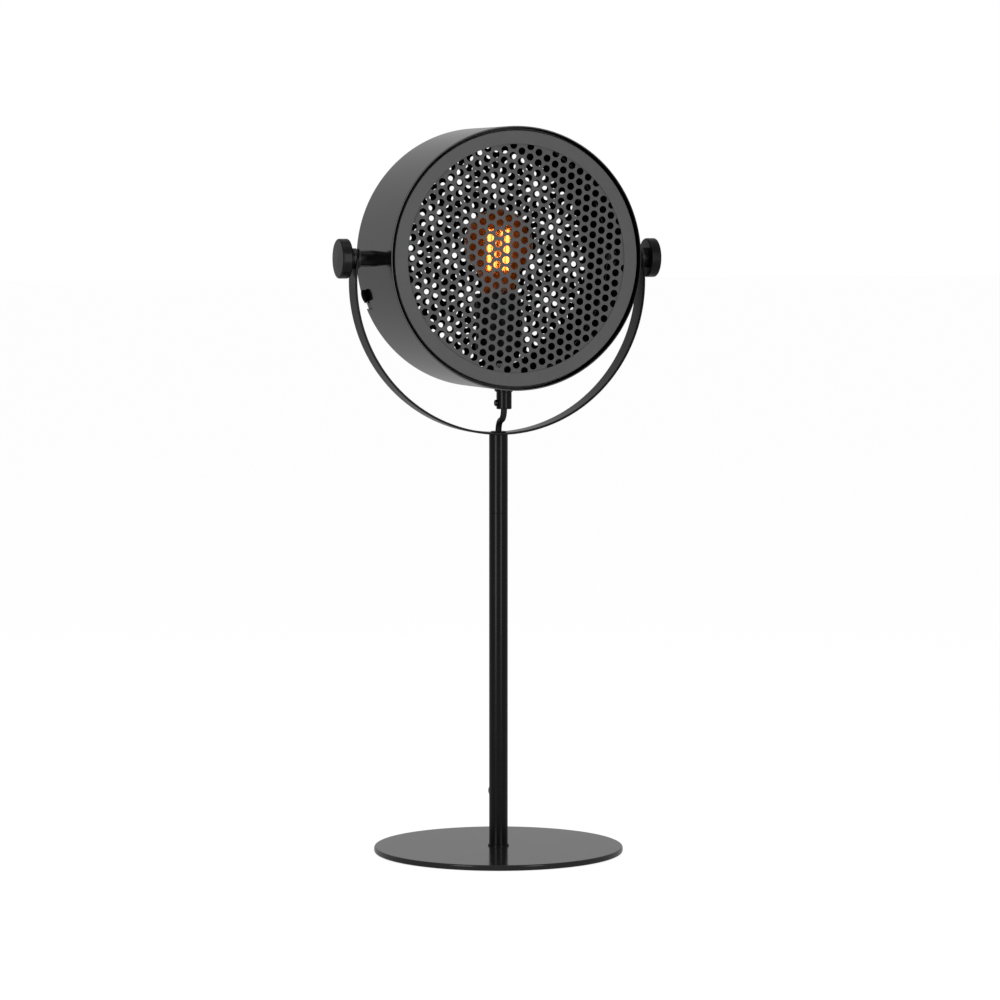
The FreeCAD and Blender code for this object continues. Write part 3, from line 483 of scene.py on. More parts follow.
def rounded_outline(corners: Sequence[Corner], closed: bool) -> list[RimPoint]:
    """Round the corners of an outline that runs with its material on its left.

    Args:
        corners: The sharp outline, from its foot outwards and up.
        closed: Whether it joins up, as a tube's does, or ends on the axis.

    Returns:
        The outline's points with their exact surface directions.
    """
    points = []
    count = len(corners)
    for index, corner in enumerate(corners):
        inside = closed or 0 < index < count - 1
        before = heading(corners[index - 1], corner) if closed or index > 0 else None
        after = heading(corner, corners[(index + 1) % count]) if closed or index < count - 1 else None
        before = before or after
        after = after or before
        normal_before, normal_after = (before[1], -before[0]), (after[1], -after[0])
        turn = math.atan2(before[0] * after[1] - before[1] * after[0],
                          before[0] * after[0] + before[1] * after[1])
        if not inside or corner.rounding == 0 or abs(turn) < 1e-6:
            points.append(RimPoint(corner.radius, corner.height, normal_before, normal_after))
            continue
        reach = corner.rounding * math.tan(abs(turn) / 2)
        bulge = math.copysign(corner.rounding, turn)
        centre_radius = corner.radius - before[0] * reach - normal_before[0] * bulge
        centre_height = corner.height - before[1] * reach - normal_before[1] * bulge
        steps = max(2, math.ceil(ARC_STEPS * abs(turn) / QUARTER_TURN))
        for step in range(steps + 1):
            angle = turn * step / steps
            across = normal_before[0] * math.cos(angle) - normal_before[1] * math.sin(angle)
            up = normal_before[0] * math.sin(angle) + normal_before[1] * math.cos(angle)
            radius, height = centre_radius + across * bulge, centre_height + up * bulge
            points.append(RimPoint(radius, height, (across, up), (across, up)))
    return points


def smooth_outline(places: Sequence[Pair]) -> list[RimPoint]:
    """Take the directions of a flowing outline from its neighbouring points.

    Args:
        places: The outline's points, as radius and height.

    Returns:
        The outline's points with their directions.
    """
    points = []
    last = len(places) - 1
    for index, (radius, height) in enumerate(places):
        start, end = places[max(0, index - 1)], places[min(last, index + 1)]
        length = math.hypot(end[0] - start[0], end[1] - start[1])
        normal = ((end[1] - start[1]) / length, -(end[0] - start[0]) / length)
        points.append(RimPoint(radius, height, normal, normal))
    return points


def turned(outline: Sequence[RimPoint], closed: bool, foot: Vector, axis: Vector = Z_AXIS,
           steps: int = PLAIN_TURN) -> Mesh:
    """Turn an outline about an axis into a mesh with exact surface directions.

    Args:
        outline: Points of the outline, its material on its left.
        closed: Whether the outline joins up.
        foot: The place of height 0 on the axis.
        axis: The direction of rising height.
        steps: Faces round the axis.

    Returns:
        The mesh.
    """
    first = X_AXIS if abs(axis.x) < 0.9 else Y_AXIS
    first = (first - axis * first.dot(axis)).normalized()
    second = axis.cross(first)
    spokes = []
    for step in range(steps):
        angle = FULL_TURN * step / steps
        spokes.append(first * math.cos(angle) + second * math.sin(angle))
    vertices: list[Vector] = []
    rows = []
    for point in outline:
        centre = foot + axis * point.height
        if point.radius < 1e-9:
            rows.append([len(vertices)] * steps)
            vertices.append(centre)
        else:
            rows.append([len(vertices) + step for step in range(steps)])
            vertices.extend(centre + spoke * point.radius for spoke in spokes)
    faces, normals = [], []
    count = len(outline)
    for index in range(count if closed else count - 1):
        following = (index + 1) % count
        start, end = outline[index].normal_after, outline[following].normal_before
        for step in range(steps):
            turn_on = (step + 1) % steps
            loop = [(rows[index][step], step, start), (rows[index][turn_on], turn_on, start),
                    (rows[following][turn_on], turn_on, end), (rows[following][step], step, end)]
            kept = [corner for place, corner in enumerate(loop) if corner[0] != loop[place - 1][0]]
            faces.append([corner[0] for corner in kept])
            normals.extend(spokes[corner[1]] * corner[2][0] + axis * corner[2][1] for corner in kept)
    mesh = smoothed(new_mesh(vertices, faces))
    mesh.normals_split_custom_set([normal.normalized() for normal in normals])
    return mesh


def turned_tube(corners: Sequence[Corner], foot: Vector, axis: Vector = Z_AXIS,
                steps: int = PLAIN_TURN) -> Mesh:
    """Turn a ring-shaped solid whose outline doesn't touch the axis."""
    return turned(rounded_outline(corners, True), True, foot, axis, steps)


def turned_solid(corners: Sequence[Corner], foot: Vector, axis: Vector = Z_AXIS,
                 steps: int = PLAIN_TURN) -> Mesh:
    """Turn a solid whose outline starts and ends on the axis."""
    return turned(rounded_outline(corners, False), False, foot, axis, steps)


def settle_normals(mesh: Mesh, centre: Vector, axis: Vector) -> None:
    """Give the faces that lie round an axis, or square to it, their exact directions.

    Args:
        mesh: The mesh whose flat and round faces are made even.
        centre: A point on the axis.
        axis: The axis of the round faces.
    """
    smoothed(mesh, 50)
    normals = []
    for face in mesh.polygons:
        along = face.normal.dot(axis)
        for vertex in face.vertices:
            if abs(along) > 1 - SAME_DIRECTION:
                normals.append(axis * math.copysign(1, along))
                continue
            arm = mesh.vertices[vertex].co - centre
            arm = (arm - axis * arm.dot(axis)).normalized()
            facing = face.normal.dot(arm)
            exact = abs(facing) > 1 - SAME_DIRECTION
            normals.append(arm * math.copysign(1, facing) if exact else Vector((0, 0, 0)))
    mesh.normals_split_custom_set(normals)


# ---- mesh handling
def new_mesh(vertices: Sequence[Sequence[float]], faces: Sequence[Sequence[int]]) -> Mesh:
    """Make a mesh from points and faces.

    Args:
        vertices: Its points.
        faces: Its faces, as indices of points.

    Returns:
        The mesh.
    """
    mesh = bpy.data.meshes.new("shape")
    mesh.from_pydata(vertices, [], faces)
    return mesh


def in_scene(data: bpy.types.ID, name: str = "shape") -> Piece:
    """Put a mesh, curve, light or camera in the scene.

    Args:
        data: The mesh, curve, light or camera.
        name: The name of its object.

    Returns:
        The object.
    """
    made = bpy.data.objects.new(name, data)
    bpy.context.scene.collection.objects.link(made)
    return made


def smoothed(mesh: Mesh, crease: float | None = None) -> Mesh:
    """Shade a mesh smoothly, but for the edges that turn by more than a crease.

    Args:
        mesh: The mesh.
        crease: The crease in degrees, or None for no sharp edge at all.

    Returns:
        The same mesh.
    """
    mesh.polygons.foreach_set("use_smooth", [True] * len(mesh.polygons))
    if crease is not None:
        mesh.set_sharp_from_angle(angle=math.radians(crease))
    return mesh


def settled(piece: Piece) -> Mesh:
    """Apply a piece's modifiers and take the piece out of the scene.

    Args:
        piece: The piece.

    Returns:
        Its mesh with the modifiers applied.
    """
    bpy.context.view_layer.update()
    graph = bpy.context.evaluated_depsgraph_get()
    mesh = bpy.data.meshes.new_from_object(piece.evaluated_get(graph), depsgraph=graph)
    bpy.data.objects.remove(piece)
    return mesh


def cut(mesh: Mesh, tools: Sequence[Mesh]) -> Mesh:
    """Cut a solid with tool solids, one after the other.

    Args:
        mesh: The solid.
        tools: The solids that cut it.

    Returns:
        What is left of it.
    """
    for tool in tools:
        piece, cutter = in_scene(mesh), in_scene(tool)
        step = piece.modifiers.new("cut", "BOOLEAN")
        step.operation = "DIFFERENCE"
        step.solver = "EXACT"
        step.object = cutter
        mesh = settled(piece)
        bpy.data.objects.remove(cutter)
    return mesh


def softened(mesh: Mesh, width: float, segments: int = 2, angle: float = 40.0) -> Mesh:
    """Round the sharp edges of a mesh.

    Args:
        mesh: The mesh.
        width: How far the rounding reaches.
        segments: Steps in it.
        angle: The least turn, in degrees, of an edge that is rounded.

    Returns:
        The rounded mesh.
    """
    piece = in_scene(mesh)
    step = piece.modifiers.new("soften", "BEVEL")
    step.width = width
    step.segments = segments
    step.limit_method = "ANGLE"
    step.angle_limit = math.radians(angle)
    step.use_clamp_overlap = False
    return settled(piece)


def thickened(mesh: Mesh, thickness: float) -> Mesh:
    """Give a sheet a wall on the side away from its normals.

    Args:
        mesh: The sheet.
        thickness: The wall's thickness.

    Returns:
        The solid.
    """
    piece = in_scene(mesh)
    step = piece.modifiers.new("wall", "SOLIDIFY")
    step.thickness = thickness
    step.offset = -1.0
    step.use_even_offset = False
    return settled(piece)


def joined(meshes: Sequence[Mesh]) -> Mesh:
    """Join meshes into one, keeping their surface directions.

    Args:
        meshes: The meshes.

    Returns:
        One mesh without a finish.
    """
    pieces = [in_scene(mesh) for mesh in meshes]
    for mesh in meshes:
        mesh.materials.clear()
    with bpy.context.temp_override(active_object=pieces[0], selected_editable_objects=pieces):
        bpy.ops.object.join()
    mesh = pieces[0].data
    bpy.data.objects.remove(pieces[0])
    return mesh


def sheet_mesh(vertices: Sequence[Vector], faces: Sequence[Sequence[int]]) -> Mesh:
    """Make a mesh with its doubled points merged and its faces turned outwards.

    Args:
        vertices: Its points.
        faces: Its faces, as indices of points.

    Returns:
        The mesh.
    """
    mesh = new_mesh(vertices, faces)
    work = bmesh.new()
    work.from_mesh(mesh)
    bmesh.ops.remove_doubles(work, verts=work.verts, dist=0.002 * MM)
    bmesh.ops.recalc_face_normals(work, faces=work.faces)
    work.to_mesh(mesh)
    work.free()
    return mesh


def lined(mesh: Mesh, inside: Callable[[bpy.types.MeshPolygon], bool]) -> Mesh:
    """Mark the faces of a mesh that take the matt black second material: painted shade inside the drum, and
    the colour of the bulb's thin dark ring.
    """
    mesh.polygons.foreach_set("material_index", [int(inside(face)) for face in mesh.polygons])
    return mesh


def dressed(name: str, mesh: Mesh, finish: Finish, *nodes: str) -> Piece:
    """Give a mesh its finish and let it stand for nodes, without a body yet.

    Args:
        name: The piece's name.
        mesh: Its mesh, in place.
        finish: What it is made of or painted with.
        nodes: The plain nodes that it replaces.

    Returns:
        The piece.
    """
    mesh.name = name
    marks = [face.material_index for face in mesh.polygons]
    mesh.materials.clear()
    mesh.materials.append(finish.material())
    # Marked faces take a second, matt black material: painted shade inside the drum, and the colour of the
    # bulb's thin dark ring.
    if any(marks):
        mesh.materials.append(SHADE_AND_WIRE_BLACK.material())
        mesh.polygons.foreach_set("material_index", marks)
    piece = in_scene(mesh, name)
    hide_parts(*nodes)
    LOG.info("%s: %d faces in %s", name, len(mesh.polygons), finish.name)
    return piece


def fit(name: str, mesh: Mesh, finish: Finish, body: str, *nodes: str) -> None:
    """Dress a mesh as a piece that stands for nodes, and let it ride on a body."""
    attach(dressed(name, mesh, finish, *nodes), body)


def grown(tree: Tree, values: dict[str, Any]) -> Mesh:
    """Run a geometry tree on an empty object and return its plain mesh.

    Args:
        tree: The geometry group.
        values: Its inputs by name.

    Returns:
        The mesh that it makes.
    """
    piece = in_scene(new_mesh([], []))
    step = piece.modifiers.new("grow", "NODES")
    step.node_group = tree
    for item in tree.interface.items_tree:
        if item.item_type == "SOCKET" and item.in_out == "INPUT" and item.name in values:
            step[item.identifier] = values[item.name]
    return settled(piece)


# ---- geometry trees
# Faces round the parts of screws, and steps in a turn of the thread.
HEAD_SIDES = 48
SHANK_SIDES = 24
RIB_SIDES = 8
RIDGE_SIDES = 10
THREAD_STEPS = 40


def start_geometry(name: str, inputs: dict[str, float | int]) -> tuple[Graph, Any]:
    """Start a geometry group with named inputs; return a graph on it and its input sockets."""
    graph = Graph(new_tree(name, "GeometryNodeTree", {**inputs, "Finish": None}, {"Geometry": "Geometry"}))
    return graph, graph.add("NodeGroupInput").outputs


def end_geometry(graph: Graph, geometry: Socket, finish: Socket) -> Tree:
    """End a geometry group in Realize Instances and Set Material.

    Args:
        graph: The group's graph.
        geometry: What the group makes.
        finish: The material's socket.

    Returns:
        The finished group.
    """
    plain = graph.grow("RealizeInstances", {"Geometry": geometry})
    graph.add("NodeGroupOutput", {0: graph.grow("SetMaterial", {"Geometry": plain, "Material": finish})})
    return graph.tree


def perforated_sheet_tree() -> Tree:
    """Geometry group: a round sheet with a triangular field of punched holes.

    Returns:
        The group; the sheet lies in XY with its thickness up Z.
    """
    graph, given = start_geometry("perforated_sheet", {
        "Sheet Radius": 0.1, "Field Radius": 0.09, "Hole Radius": 0.003, "Hole Pitch": 0.009,
        "Hole Sides": 18, "Rim Sides": 128, "Columns": 27, "Rows": 27, "Thickness": 0.001, "Lean": 0.0,
        "Across": 0.0, "Up": 0.0,
    })
    pitch = given["Hole Pitch"]
    column_gap = graph.math("MULTIPLY", pitch, math.sqrt(3) / 2)
    width = graph.math("MULTIPLY", graph.math("SUBTRACT", given["Columns"], 1.0), column_gap)
    depth = graph.math("MULTIPLY", graph.math("SUBTRACT", given["Rows"], 1.0), pitch)
    lattice = graph.grow("MeshGrid", {"Size X": width, "Size Y": depth, "Vertices X": given["Columns"],
                                      "Vertices Y": given["Rows"]})
    place = graph.grow("InputPosition")
    across = graph.add("ShaderNodeSeparateXYZ", {0: place}).outputs[0]
    column = graph.math("ROUND", graph.math("DIVIDE", across, column_gap))
    odd = graph.math("FLOORED_MODULO", column, 2.0)
    lift = graph.math("MULTIPLY", graph.math("MULTIPLY", odd, 0.5), pitch)
    staggered = graph.grow("SetPosition", {"Geometry": lattice, "Offset": graph.vector(Y=lift)})
    lean = graph.vector(Z=graph.math("MULTIPLY", given["Lean"], -1.0))
    shift = graph.vector(X=given["Across"], Y=given["Up"])
    leaning = graph.grow("Transform", {"Geometry": staggered, "Rotation": lean, "Translation": shift})
    distance = graph.add("ShaderNodeVectorMath", {0: place}, operation="LENGTH").outputs["Value"]
    outside = graph.add("FunctionNodeCompare", {0: distance, 1: given["Field Radius"]},
                        operation="GREATER_THAN").outputs[0]
    dots = graph.grow("MeshToPoints", {
        "Mesh": graph.grow("DeleteGeometry", {"Geometry": leaning, "Selection": outside}),
    })
    punch = graph.circle(given["Hole Sides"], given["Hole Radius"])
    holes = graph.grow("InstanceOnPoints", {"Points": dots, "Instance": punch})
    loose = graph.grow("RealizeInstances", {"Geometry": holes})
    rim = graph.circle(given["Rim Sides"], given["Sheet Radius"])
    filled = graph.grow("FillCurve", {"Curve": graph.join(rim, loose)})
    raised = graph.grow("ExtrudeMesh", {"Mesh": filled, "Offset": (0.0, 0.0, 1.0),
                                        "Offset Scale": given["Thickness"], "Individual": False})
    under = graph.grow("FlipFaces", {"Mesh": filled})
    closed = graph.grow("MergeByDistance", {"Geometry": graph.join(raised, under), "Distance": 0.01 * MM})
    return end_geometry(graph, closed, given["Finish"])


def posts_on_circle_tree() -> Tree:
    """Geometry group: equal posts standing on a circle, such as nuts or studs.

    Returns:
        The group; the circle lies in XY and the posts rise from Z 0.
    """
    graph, given = start_geometry("posts_on_circle", {
        "Sides": 6, "Post Radius": 0.003, "Post Length": 0.002, "Circle Radius": 0.1, "Count": 3,
        "First Angle": 0.0,
    })
    circle = graph.grow("MeshCircle", {"Vertices": given["Count"], "Radius": given["Circle Radius"]})
    half = graph.math("MULTIPLY", given["Post Length"], 0.5)
    posts = graph.grow("InstanceOnPoints", {
        "Points": circle,
        "Instance": graph.bar(given["Sides"], given["Post Radius"], given["Post Length"], half),
    })
    turn = graph.vector(Z=given["First Angle"])
    placed = graph.grow("Transform", {"Geometry": posts, "Rotation": turn})
    return end_geometry(graph, placed, given["Finish"])


def thumb_screw_tree() -> Tree:
    """Geometry group: a thumb screw with ribs round its head and a plain shank.

    Returns:
        The group; the head rises from Z 0 and the shank runs down from it.
    """
    graph, given = start_geometry("thumb_screw", {
        "Head Radius": 0.005, "Head Thickness": 0.003, "Rib Count": 20, "Rib Radius": 0.0005,
        "Rib Margin": 0.0004, "Shank Radius": 0.0025, "Shank Length": 0.009,
    })
    radius, thickness, length = given["Head Radius"], given["Head Thickness"], given["Shank Length"]
    half = graph.math("MULTIPLY", thickness, 0.5)
    core = graph.math("SUBTRACT", radius, given["Rib Radius"])
    head = graph.bar(HEAD_SIDES, core, thickness, half)
    shank = graph.bar(SHANK_SIDES, given["Shank Radius"], length, graph.math("MULTIPLY", length, -0.5))
    margin = graph.math("MULTIPLY", given["Rib Margin"], 2.0)
    rib = graph.bar(RIB_SIDES, given["Rib Radius"], graph.math("SUBTRACT", thickness, margin), half)
    ring = graph.grow("MeshCircle", {"Vertices": given["Rib Count"], "Radius": core})
    ribs = graph.grow("InstanceOnPoints", {"Points": ring, "Instance": rib})
    return end_geometry(graph, graph.join(head, shank, ribs), given["Finish"])


def screw_thread_tree() -> Tree:
    """Geometry group: the rolled thread of a bulb's cap.

    Returns:
        The group; the thread climbs from Z 0.
    """
    graph, given = start_geometry("screw_thread", {
        "Thread Radius": 0.012, "Ridge Radius": 0.001, "Turns": 4.0, "Climb": 0.014,
    })
    radius = given["Thread Radius"]
    line = graph.grow("CurveSpiral", {
        "Resolution": THREAD_STEPS, "Rotations": given["Turns"], "Start Radius": radius,
        "End Radius": radius, "Height": given["Climb"],
    })
    ridge = graph.circle(RIDGE_SIDES, given["Ridge Radius"])
    swept = graph.grow("CurveToMesh", {"Curve": line, "Profile Curve": ridge, "Fill Caps": True})
    return end_geometry(graph, swept, given["Finish"])


# ---- places from the frame
def middle_of(node: str) -> Vector:
    """Return the middle of a node's box."""
    low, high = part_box(node)
    return (low + high) / 2


def on_stem_axis(height: float) -> Vector:
    """Return the point at a height on the axis of stem, base and bulb."""
    return Vector((0, 0, height))


@dataclass(frozen=True)
class Places:
    """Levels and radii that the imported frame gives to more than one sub-assembly."""

    pivot: Vector
    drum_radius: float
    drum_front: float
    drum_rear: float
    yoke_centre: Vector
    yoke_radius: float
    stem_top: float

    @classmethod
    def read(cls, joints: Sequence[dict[str, Any]]) -> Places:
        """Read the places from the frame.

        Args:
            joints: The frame's joints.

        Returns:
            The places.
        """
        pivot = next(Vector(joint["pos_m"]) for joint in joints if joint["name"] == "head_tilt")
        drum_low, drum_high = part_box("drum_shell")
        yoke_low, yoke_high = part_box("yoke")
        yoke_radius = (yoke_high.x - yoke_low.x) / 2
        return cls(
            pivot=pivot, drum_radius=(drum_high.x - drum_low.x) / 2, drum_front=drum_low.y,
            drum_rear=drum_high.y, yoke_centre=on_stem_axis(yoke_low.z + yoke_radius),
            yoke_radius=yoke_radius, stem_top=yoke_low.z,
        )

    def off_axis(self, point: Vector) -> float:
        """Return how far a point lies from the drum's axis."""
        return math.hypot(point.x, point.z - self.pivot.z)

    def cover_screws(self) -> list[Pair]:
        """Return the angle round the drum and the place along it of each thumb screw."""
        middles = [middle_of(f"cover_screw_{index}") for index in (1, 2, 3)]
        return [(math.atan2(middle.z - self.pivot.z, middle.x), middle.y) for middle in middles]

    def round_drum(self, angle: float, radius: float, depth: float) -> Vector:
        """Return the point at an angle (from +X towards +Z) and radius about the drum's axis."""
        return Vector((radius * math.cos(angle), depth, self.pivot.z + radius * math.sin(angle)))


# ---- base
@dataclass
class Base:
    """Round steel plate on a foam pad, with the stem's foot."""

    body: str = "stand"
    rim_rounding: float = 1.5 * MM
    pad_recess: float = 0.6 * MM
    pad_outer: float = 102.1 * MM
    pad_inner: float = 16.9 * MM
    screw_radius: float = 4.1 * MM
    countersink_radius: float = 7.9 * MM
    collar_height: float = 1.6 * MM
    collar_radius: float = 9.3 * MM
    spigot_radius: float = 6.65 * MM
    rim_steps: int = 256

    def build(self) -> None:
        """Make the plate and the foot."""
        fit("base_disc", self.plate(), BASE_PAINT, self.body, "base_plate")
        fit("foot_collar", self.foot(), STEM_PAINT, self.body, "foot_socket")

    def plate(self) -> Mesh:
        """Make the plate with its softened rim and the hollows under it.

        Returns:
            The mesh.
        """
        low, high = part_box("base_plate")
        thickness = high.z - low.z
        cone = self.countersink_radius - self.screw_radius
        corners = [
            Corner(self.screw_radius, cone), Corner(self.countersink_radius, 0),
            Corner(self.pad_inner, 0), Corner(self.pad_inner, self.pad_recess),
            Corner(self.pad_outer, self.pad_recess), Corner(self.pad_outer, 0),
            Corner(high.x, 0, self.rim_rounding), Corner(high.x, thickness, self.rim_rounding),
            Corner(self.screw_radius, thickness),
        ]
        return turned_tube(corners, on_stem_axis(low.z), steps=self.rim_steps)

    def foot(self) -> Mesh:
        """Make the collar on the plate with its spigot inside the stem.

        Returns:
            The mesh.
        """
        low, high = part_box("foot_socket")
        corners = [
            Corner(self.screw_radius, 0), Corner(self.collar_radius, 0),
            Corner(self.collar_radius, self.collar_height, SOFT_EDGE),
            Corner(self.spigot_radius, self.collar_height),
            Corner(self.spigot_radius, high.z - low.z, SOFT_EDGE),
            Corner(self.screw_radius, high.z - low.z),
        ]
        return turned_tube(corners, on_stem_axis(low.z))


# ---- stem
@dataclass
class Stem:
    """Two stem tubes, the plug that holds the yoke and the lead's outlet bush."""

    places: Places
    body: str = "stand"
    wall: float = 1.5 * MM
    outlet_radius: float = 4.5 * MM
    plug_radius: float = 6.65 * MM
    plug_spigot_radius: float = 5.5 * MM
    plug_bore: float = 3.0 * MM
    rim_height: float = 0.8 * MM
    bush_bore: float = 3.3 * MM
    bush_height: float = 1.8 * MM
    bush_dome: float = 1.3 * MM
    bush_steps: int = 64
    hole_steps: int = 32

    def build(self) -> None:
        """Make the tubes, the plug and the bush."""
        fit("stem_lower_tube", self.lower(), STEM_PAINT, self.body, "lower_stem")
        fit("stem_upper_tube", self.upper(), STEM_PAINT, self.body, "upper_stem")
        fit("stem_top_plug", self.plug(), STEM_PAINT, self.body, "head_plug")
        fit("lead_outlet_bush", self.bush(), BUSH_RUBBER, self.body, "outlet_bush")

    def tube(self, length: float, radius: float, foot: Vector) -> Mesh:
        """Return a plain stem tube with broken edges."""
        return turned_tube(pipe(radius - self.wall, radius, length, FINE_EDGE), foot)

    def lower(self) -> Mesh:
        """Make the lower tube with the hole for the lead in its rear wall.

        Returns:
            The mesh.
        """
        low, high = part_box("lower_stem")
        tube = self.tube(high.z - low.z, high.x, on_stem_axis(low.z))
        start = on_stem_axis(middle_of("outlet_bush").z)
        hole = turned_solid(rod(self.outlet_radius, high.x * 2), start, Y_AXIS, self.hole_steps)
        mesh = cut(tube, [hole])
        settle_normals(mesh, on_stem_axis(0.0), Z_AXIS)
        return mesh

    def upper(self) -> Mesh:
        """Make the upper tube, its top shaped to the yoke's bend.

        Returns:
            The mesh.
        """
        low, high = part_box("upper_stem")
        mesh = self.tube(self.places.stem_top - low.z, high.x, on_stem_axis(low.z))
        reach = self.places.yoke_radius
        for vertex in mesh.vertices:
            if vertex.co.z > self.places.stem_top - 2 * FINE_EDGE:
                vertex.co.z += reach - math.sqrt(reach ** 2 - vertex.co.x ** 2)
        return mesh

    def plug(self) -> Mesh:
        """Make the bored plug with its spigot through the yoke and its spread rim.

        Returns:
            The mesh.
        """
        low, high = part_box("head_plug")
        shoulder = self.places.stem_top - low.z - FINE_EDGE
        top = high.z - low.z
        corners = [
            Corner(self.plug_bore, 0), Corner(self.plug_radius, 0), Corner(self.plug_radius, shoulder),
            Corner(self.plug_spigot_radius, shoulder),
            Corner(self.plug_spigot_radius, top - self.rim_height),
            Corner(high.x, top - self.rim_height), Corner(high.x, top, FULL_EDGE),
            Corner(self.plug_bore, top, SOFT_EDGE),
        ]
        return turned_tube(corners, on_stem_axis(low.z))

    def bush(self) -> Mesh:
        """Make the rubber bush, domed towards the lead.

        Returns:
            The mesh.
        """
        low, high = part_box("outlet_bush")
        radius = (high.x - low.x) / 2
        top = high.y - low.y
        base = high.y - self.bush_height - low.y - FINE_EDGE
        corners = [
            Corner(self.bush_bore, 0), Corner(self.outlet_radius, 0), Corner(self.outlet_radius, base),
            Corner(radius, base), Corner(radius, top, self.bush_dome),
            Corner(self.bush_bore, top, FULL_EDGE),
        ]
        return turned_tube(corners, Vector((0, low.y, (low.z + high.z) / 2)), Y_AXIS, self.bush_steps)


# ---- yoke
@dataclass
class Yoke:
    """Flat strip rolled to a C, its round ends bored for the pivots."""

    places: Places
    body: str = "stand"
    thickness: float = 2.0 * MM
    edge: float = 0.35 * MM
    end_height: float = 8.7 * MM
    pivot_hole: float = 4.05 * MM
    plug_hole: float = 5.5 * MM
    columns: int = 12
    rings: int = 4
    end_reach: float = 14.0 * MM
    middle_reach: float = 12.0 * MM
    run_steps: int = 110
    middle_sides: int = 10
    side_steps: int = 6
    arc_steps: int = 28
    half_width: float = field(init=False)

    def __post_init__(self) -> None:
        """Read the strip's width from the frame."""
        low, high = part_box("yoke")
        self.half_width = (high.y - low.y) / 2

    def build(self) -> None:
        """Make the strip."""
        mesh = softened(thickened(self.sheet(), self.thickness), self.edge)
        settle_normals(mesh, self.places.yoke_centre, Y_AXIS)
        fit("yoke_strip", mesh, YOKE_PAINT, self.body, "yoke")

    def on_arc(self, along: float, across: float) -> Vector:
        """Return the point of the outer face at a length along the strip from its middle."""
        reach, angle = self.places.yoke_radius, along / self.places.yoke_radius
        return self.places.yoke_centre + Vector((reach * math.sin(angle), across, -reach * math.cos(angle)))

    def cell(self, centre: float, hole: float, rims: Sequence[Pair]) -> list[list[Pair]]:
        """Return rings of points from a hole out to a rim, as (along, across) pairs.

        Args:
            centre: The hole's place along the strip.
            hole: Its radius.
            rims: The rim's points in order round the hole.

        Returns:
            One list of points for each ring, the hole's edge first.
        """
        rings = []
        for ring in range(self.rings + 1):
            share = ring / self.rings
            row = []
            for along, across in rims:
                distance = math.hypot(along - centre, across)
                scale = (hole + (distance - hole) * share) / distance
                row.append((centre + (along - centre) * scale, across * scale))
            rings.append(row)
        return rings

    def columns_across(self) -> list[float]:
        """Return the places of the strip's columns across its width."""
        return [self.half_width * (2 * index / self.columns - 1) for index in range(self.columns + 1)]

    def middle_rims(self) -> list[Pair]:
        """Lay out the rim of the cell round the plug's hole.

        Returns:
            The rim's points, as (along, across) pairs.
        """
        reach, across = self.middle_reach, self.columns_across()
        run = [reach * (2 * index / self.middle_sides - 1) for index in range(self.middle_sides + 1)]
        rims = [(reach, place) for place in across]
        rims += [(place, self.half_width) for place in reversed(run[:-1])]
        rims += [(-reach, place) for place in reversed(across[:-1])]
        rims += [(place, -self.half_width) for place in run[1:-1]]
        return rims

    def end_rims(self, pivot: float, top: float) -> list[Pair]:
        """Lay out the rim of the cell round a pivot's hole, with its half-round end.

        Args:
            pivot: The pivot's place along the strip.
            top: The end's place along the strip.

        Returns:
            The rim's points, as (along, across) pairs.
        """
        start = pivot - self.end_reach
        rims = [(start, place) for place in reversed(self.columns_across())]
        corner = top - self.half_width
        steps = range(1, self.side_steps)
        rims += [(start + (corner - start) * step / self.side_steps, -self.half_width) for step in steps]
        for step in range(self.arc_steps + 1):
            angle = -QUARTER_TURN + math.pi * step / self.arc_steps
            rims.append((corner + self.half_width * math.cos(angle), self.half_width * math.sin(angle)))
        rims += [(corner + (start - corner) * step / self.side_steps, self.half_width) for step in steps]
        return rims

    def sheet(self) -> Mesh:
        """Make the strip's outer face of even faces, with its holes.

        Returns:
            The face as a sheet.
        """
        reach = self.places.yoke_radius
        drop = self.places.pivot.z - self.places.yoke_centre.z
        pivot = reach * (QUARTER_TURN + math.asin(drop / reach))
        top = reach * (QUARTER_TURN + math.asin((drop + self.end_height) / reach))
        vertices: list[Vector] = []
        faces: list[list[int]] = []

        def add_rows(rows: Sequence[Sequence[Pair]], closed: bool, sign: int = 1) -> None:
            """Add a net of faces between rows of points.

            Args:
                rows: The rows, as (along, across) pairs.
                closed: Whether each row joins up.
                sign: -1 for the strip's left half.
            """
            first = len(vertices)
            width = len(rows[0])
            for row in rows:
                vertices.extend(self.on_arc(sign * along, across) for along, across in row)
            for index in range(len(rows) - 1):
                for step in range(width if closed else width - 1):
                    onward = (step + 1) % width
                    low, high = first + index * width, first + (index + 1) * width
                    faces.append([low + step, low + onward, high + onward, high + step])

        add_rows(self.cell(0.0, self.plug_hole, self.middle_rims()), True)
        across = self.columns_across()
        run_end = pivot - self.end_reach
        for sign in (-1, 1):
            run = []
            for step in range(self.run_steps + 1):
                along = self.middle_reach + (run_end - self.middle_reach) * step / self.run_steps
                run.append([(along, place) for place in across])
            add_rows(run, False, sign)
            add_rows(self.cell(pivot, self.pivot_hole, self.end_rims(pivot, top)), True, sign)
        mesh = sheet_mesh(vertices, faces)
        outward = mesh.polygons[0]
        if outward.normal.dot(outward.center - self.places.yoke_centre) < 0:
            mesh.flip_normals()
        return mesh


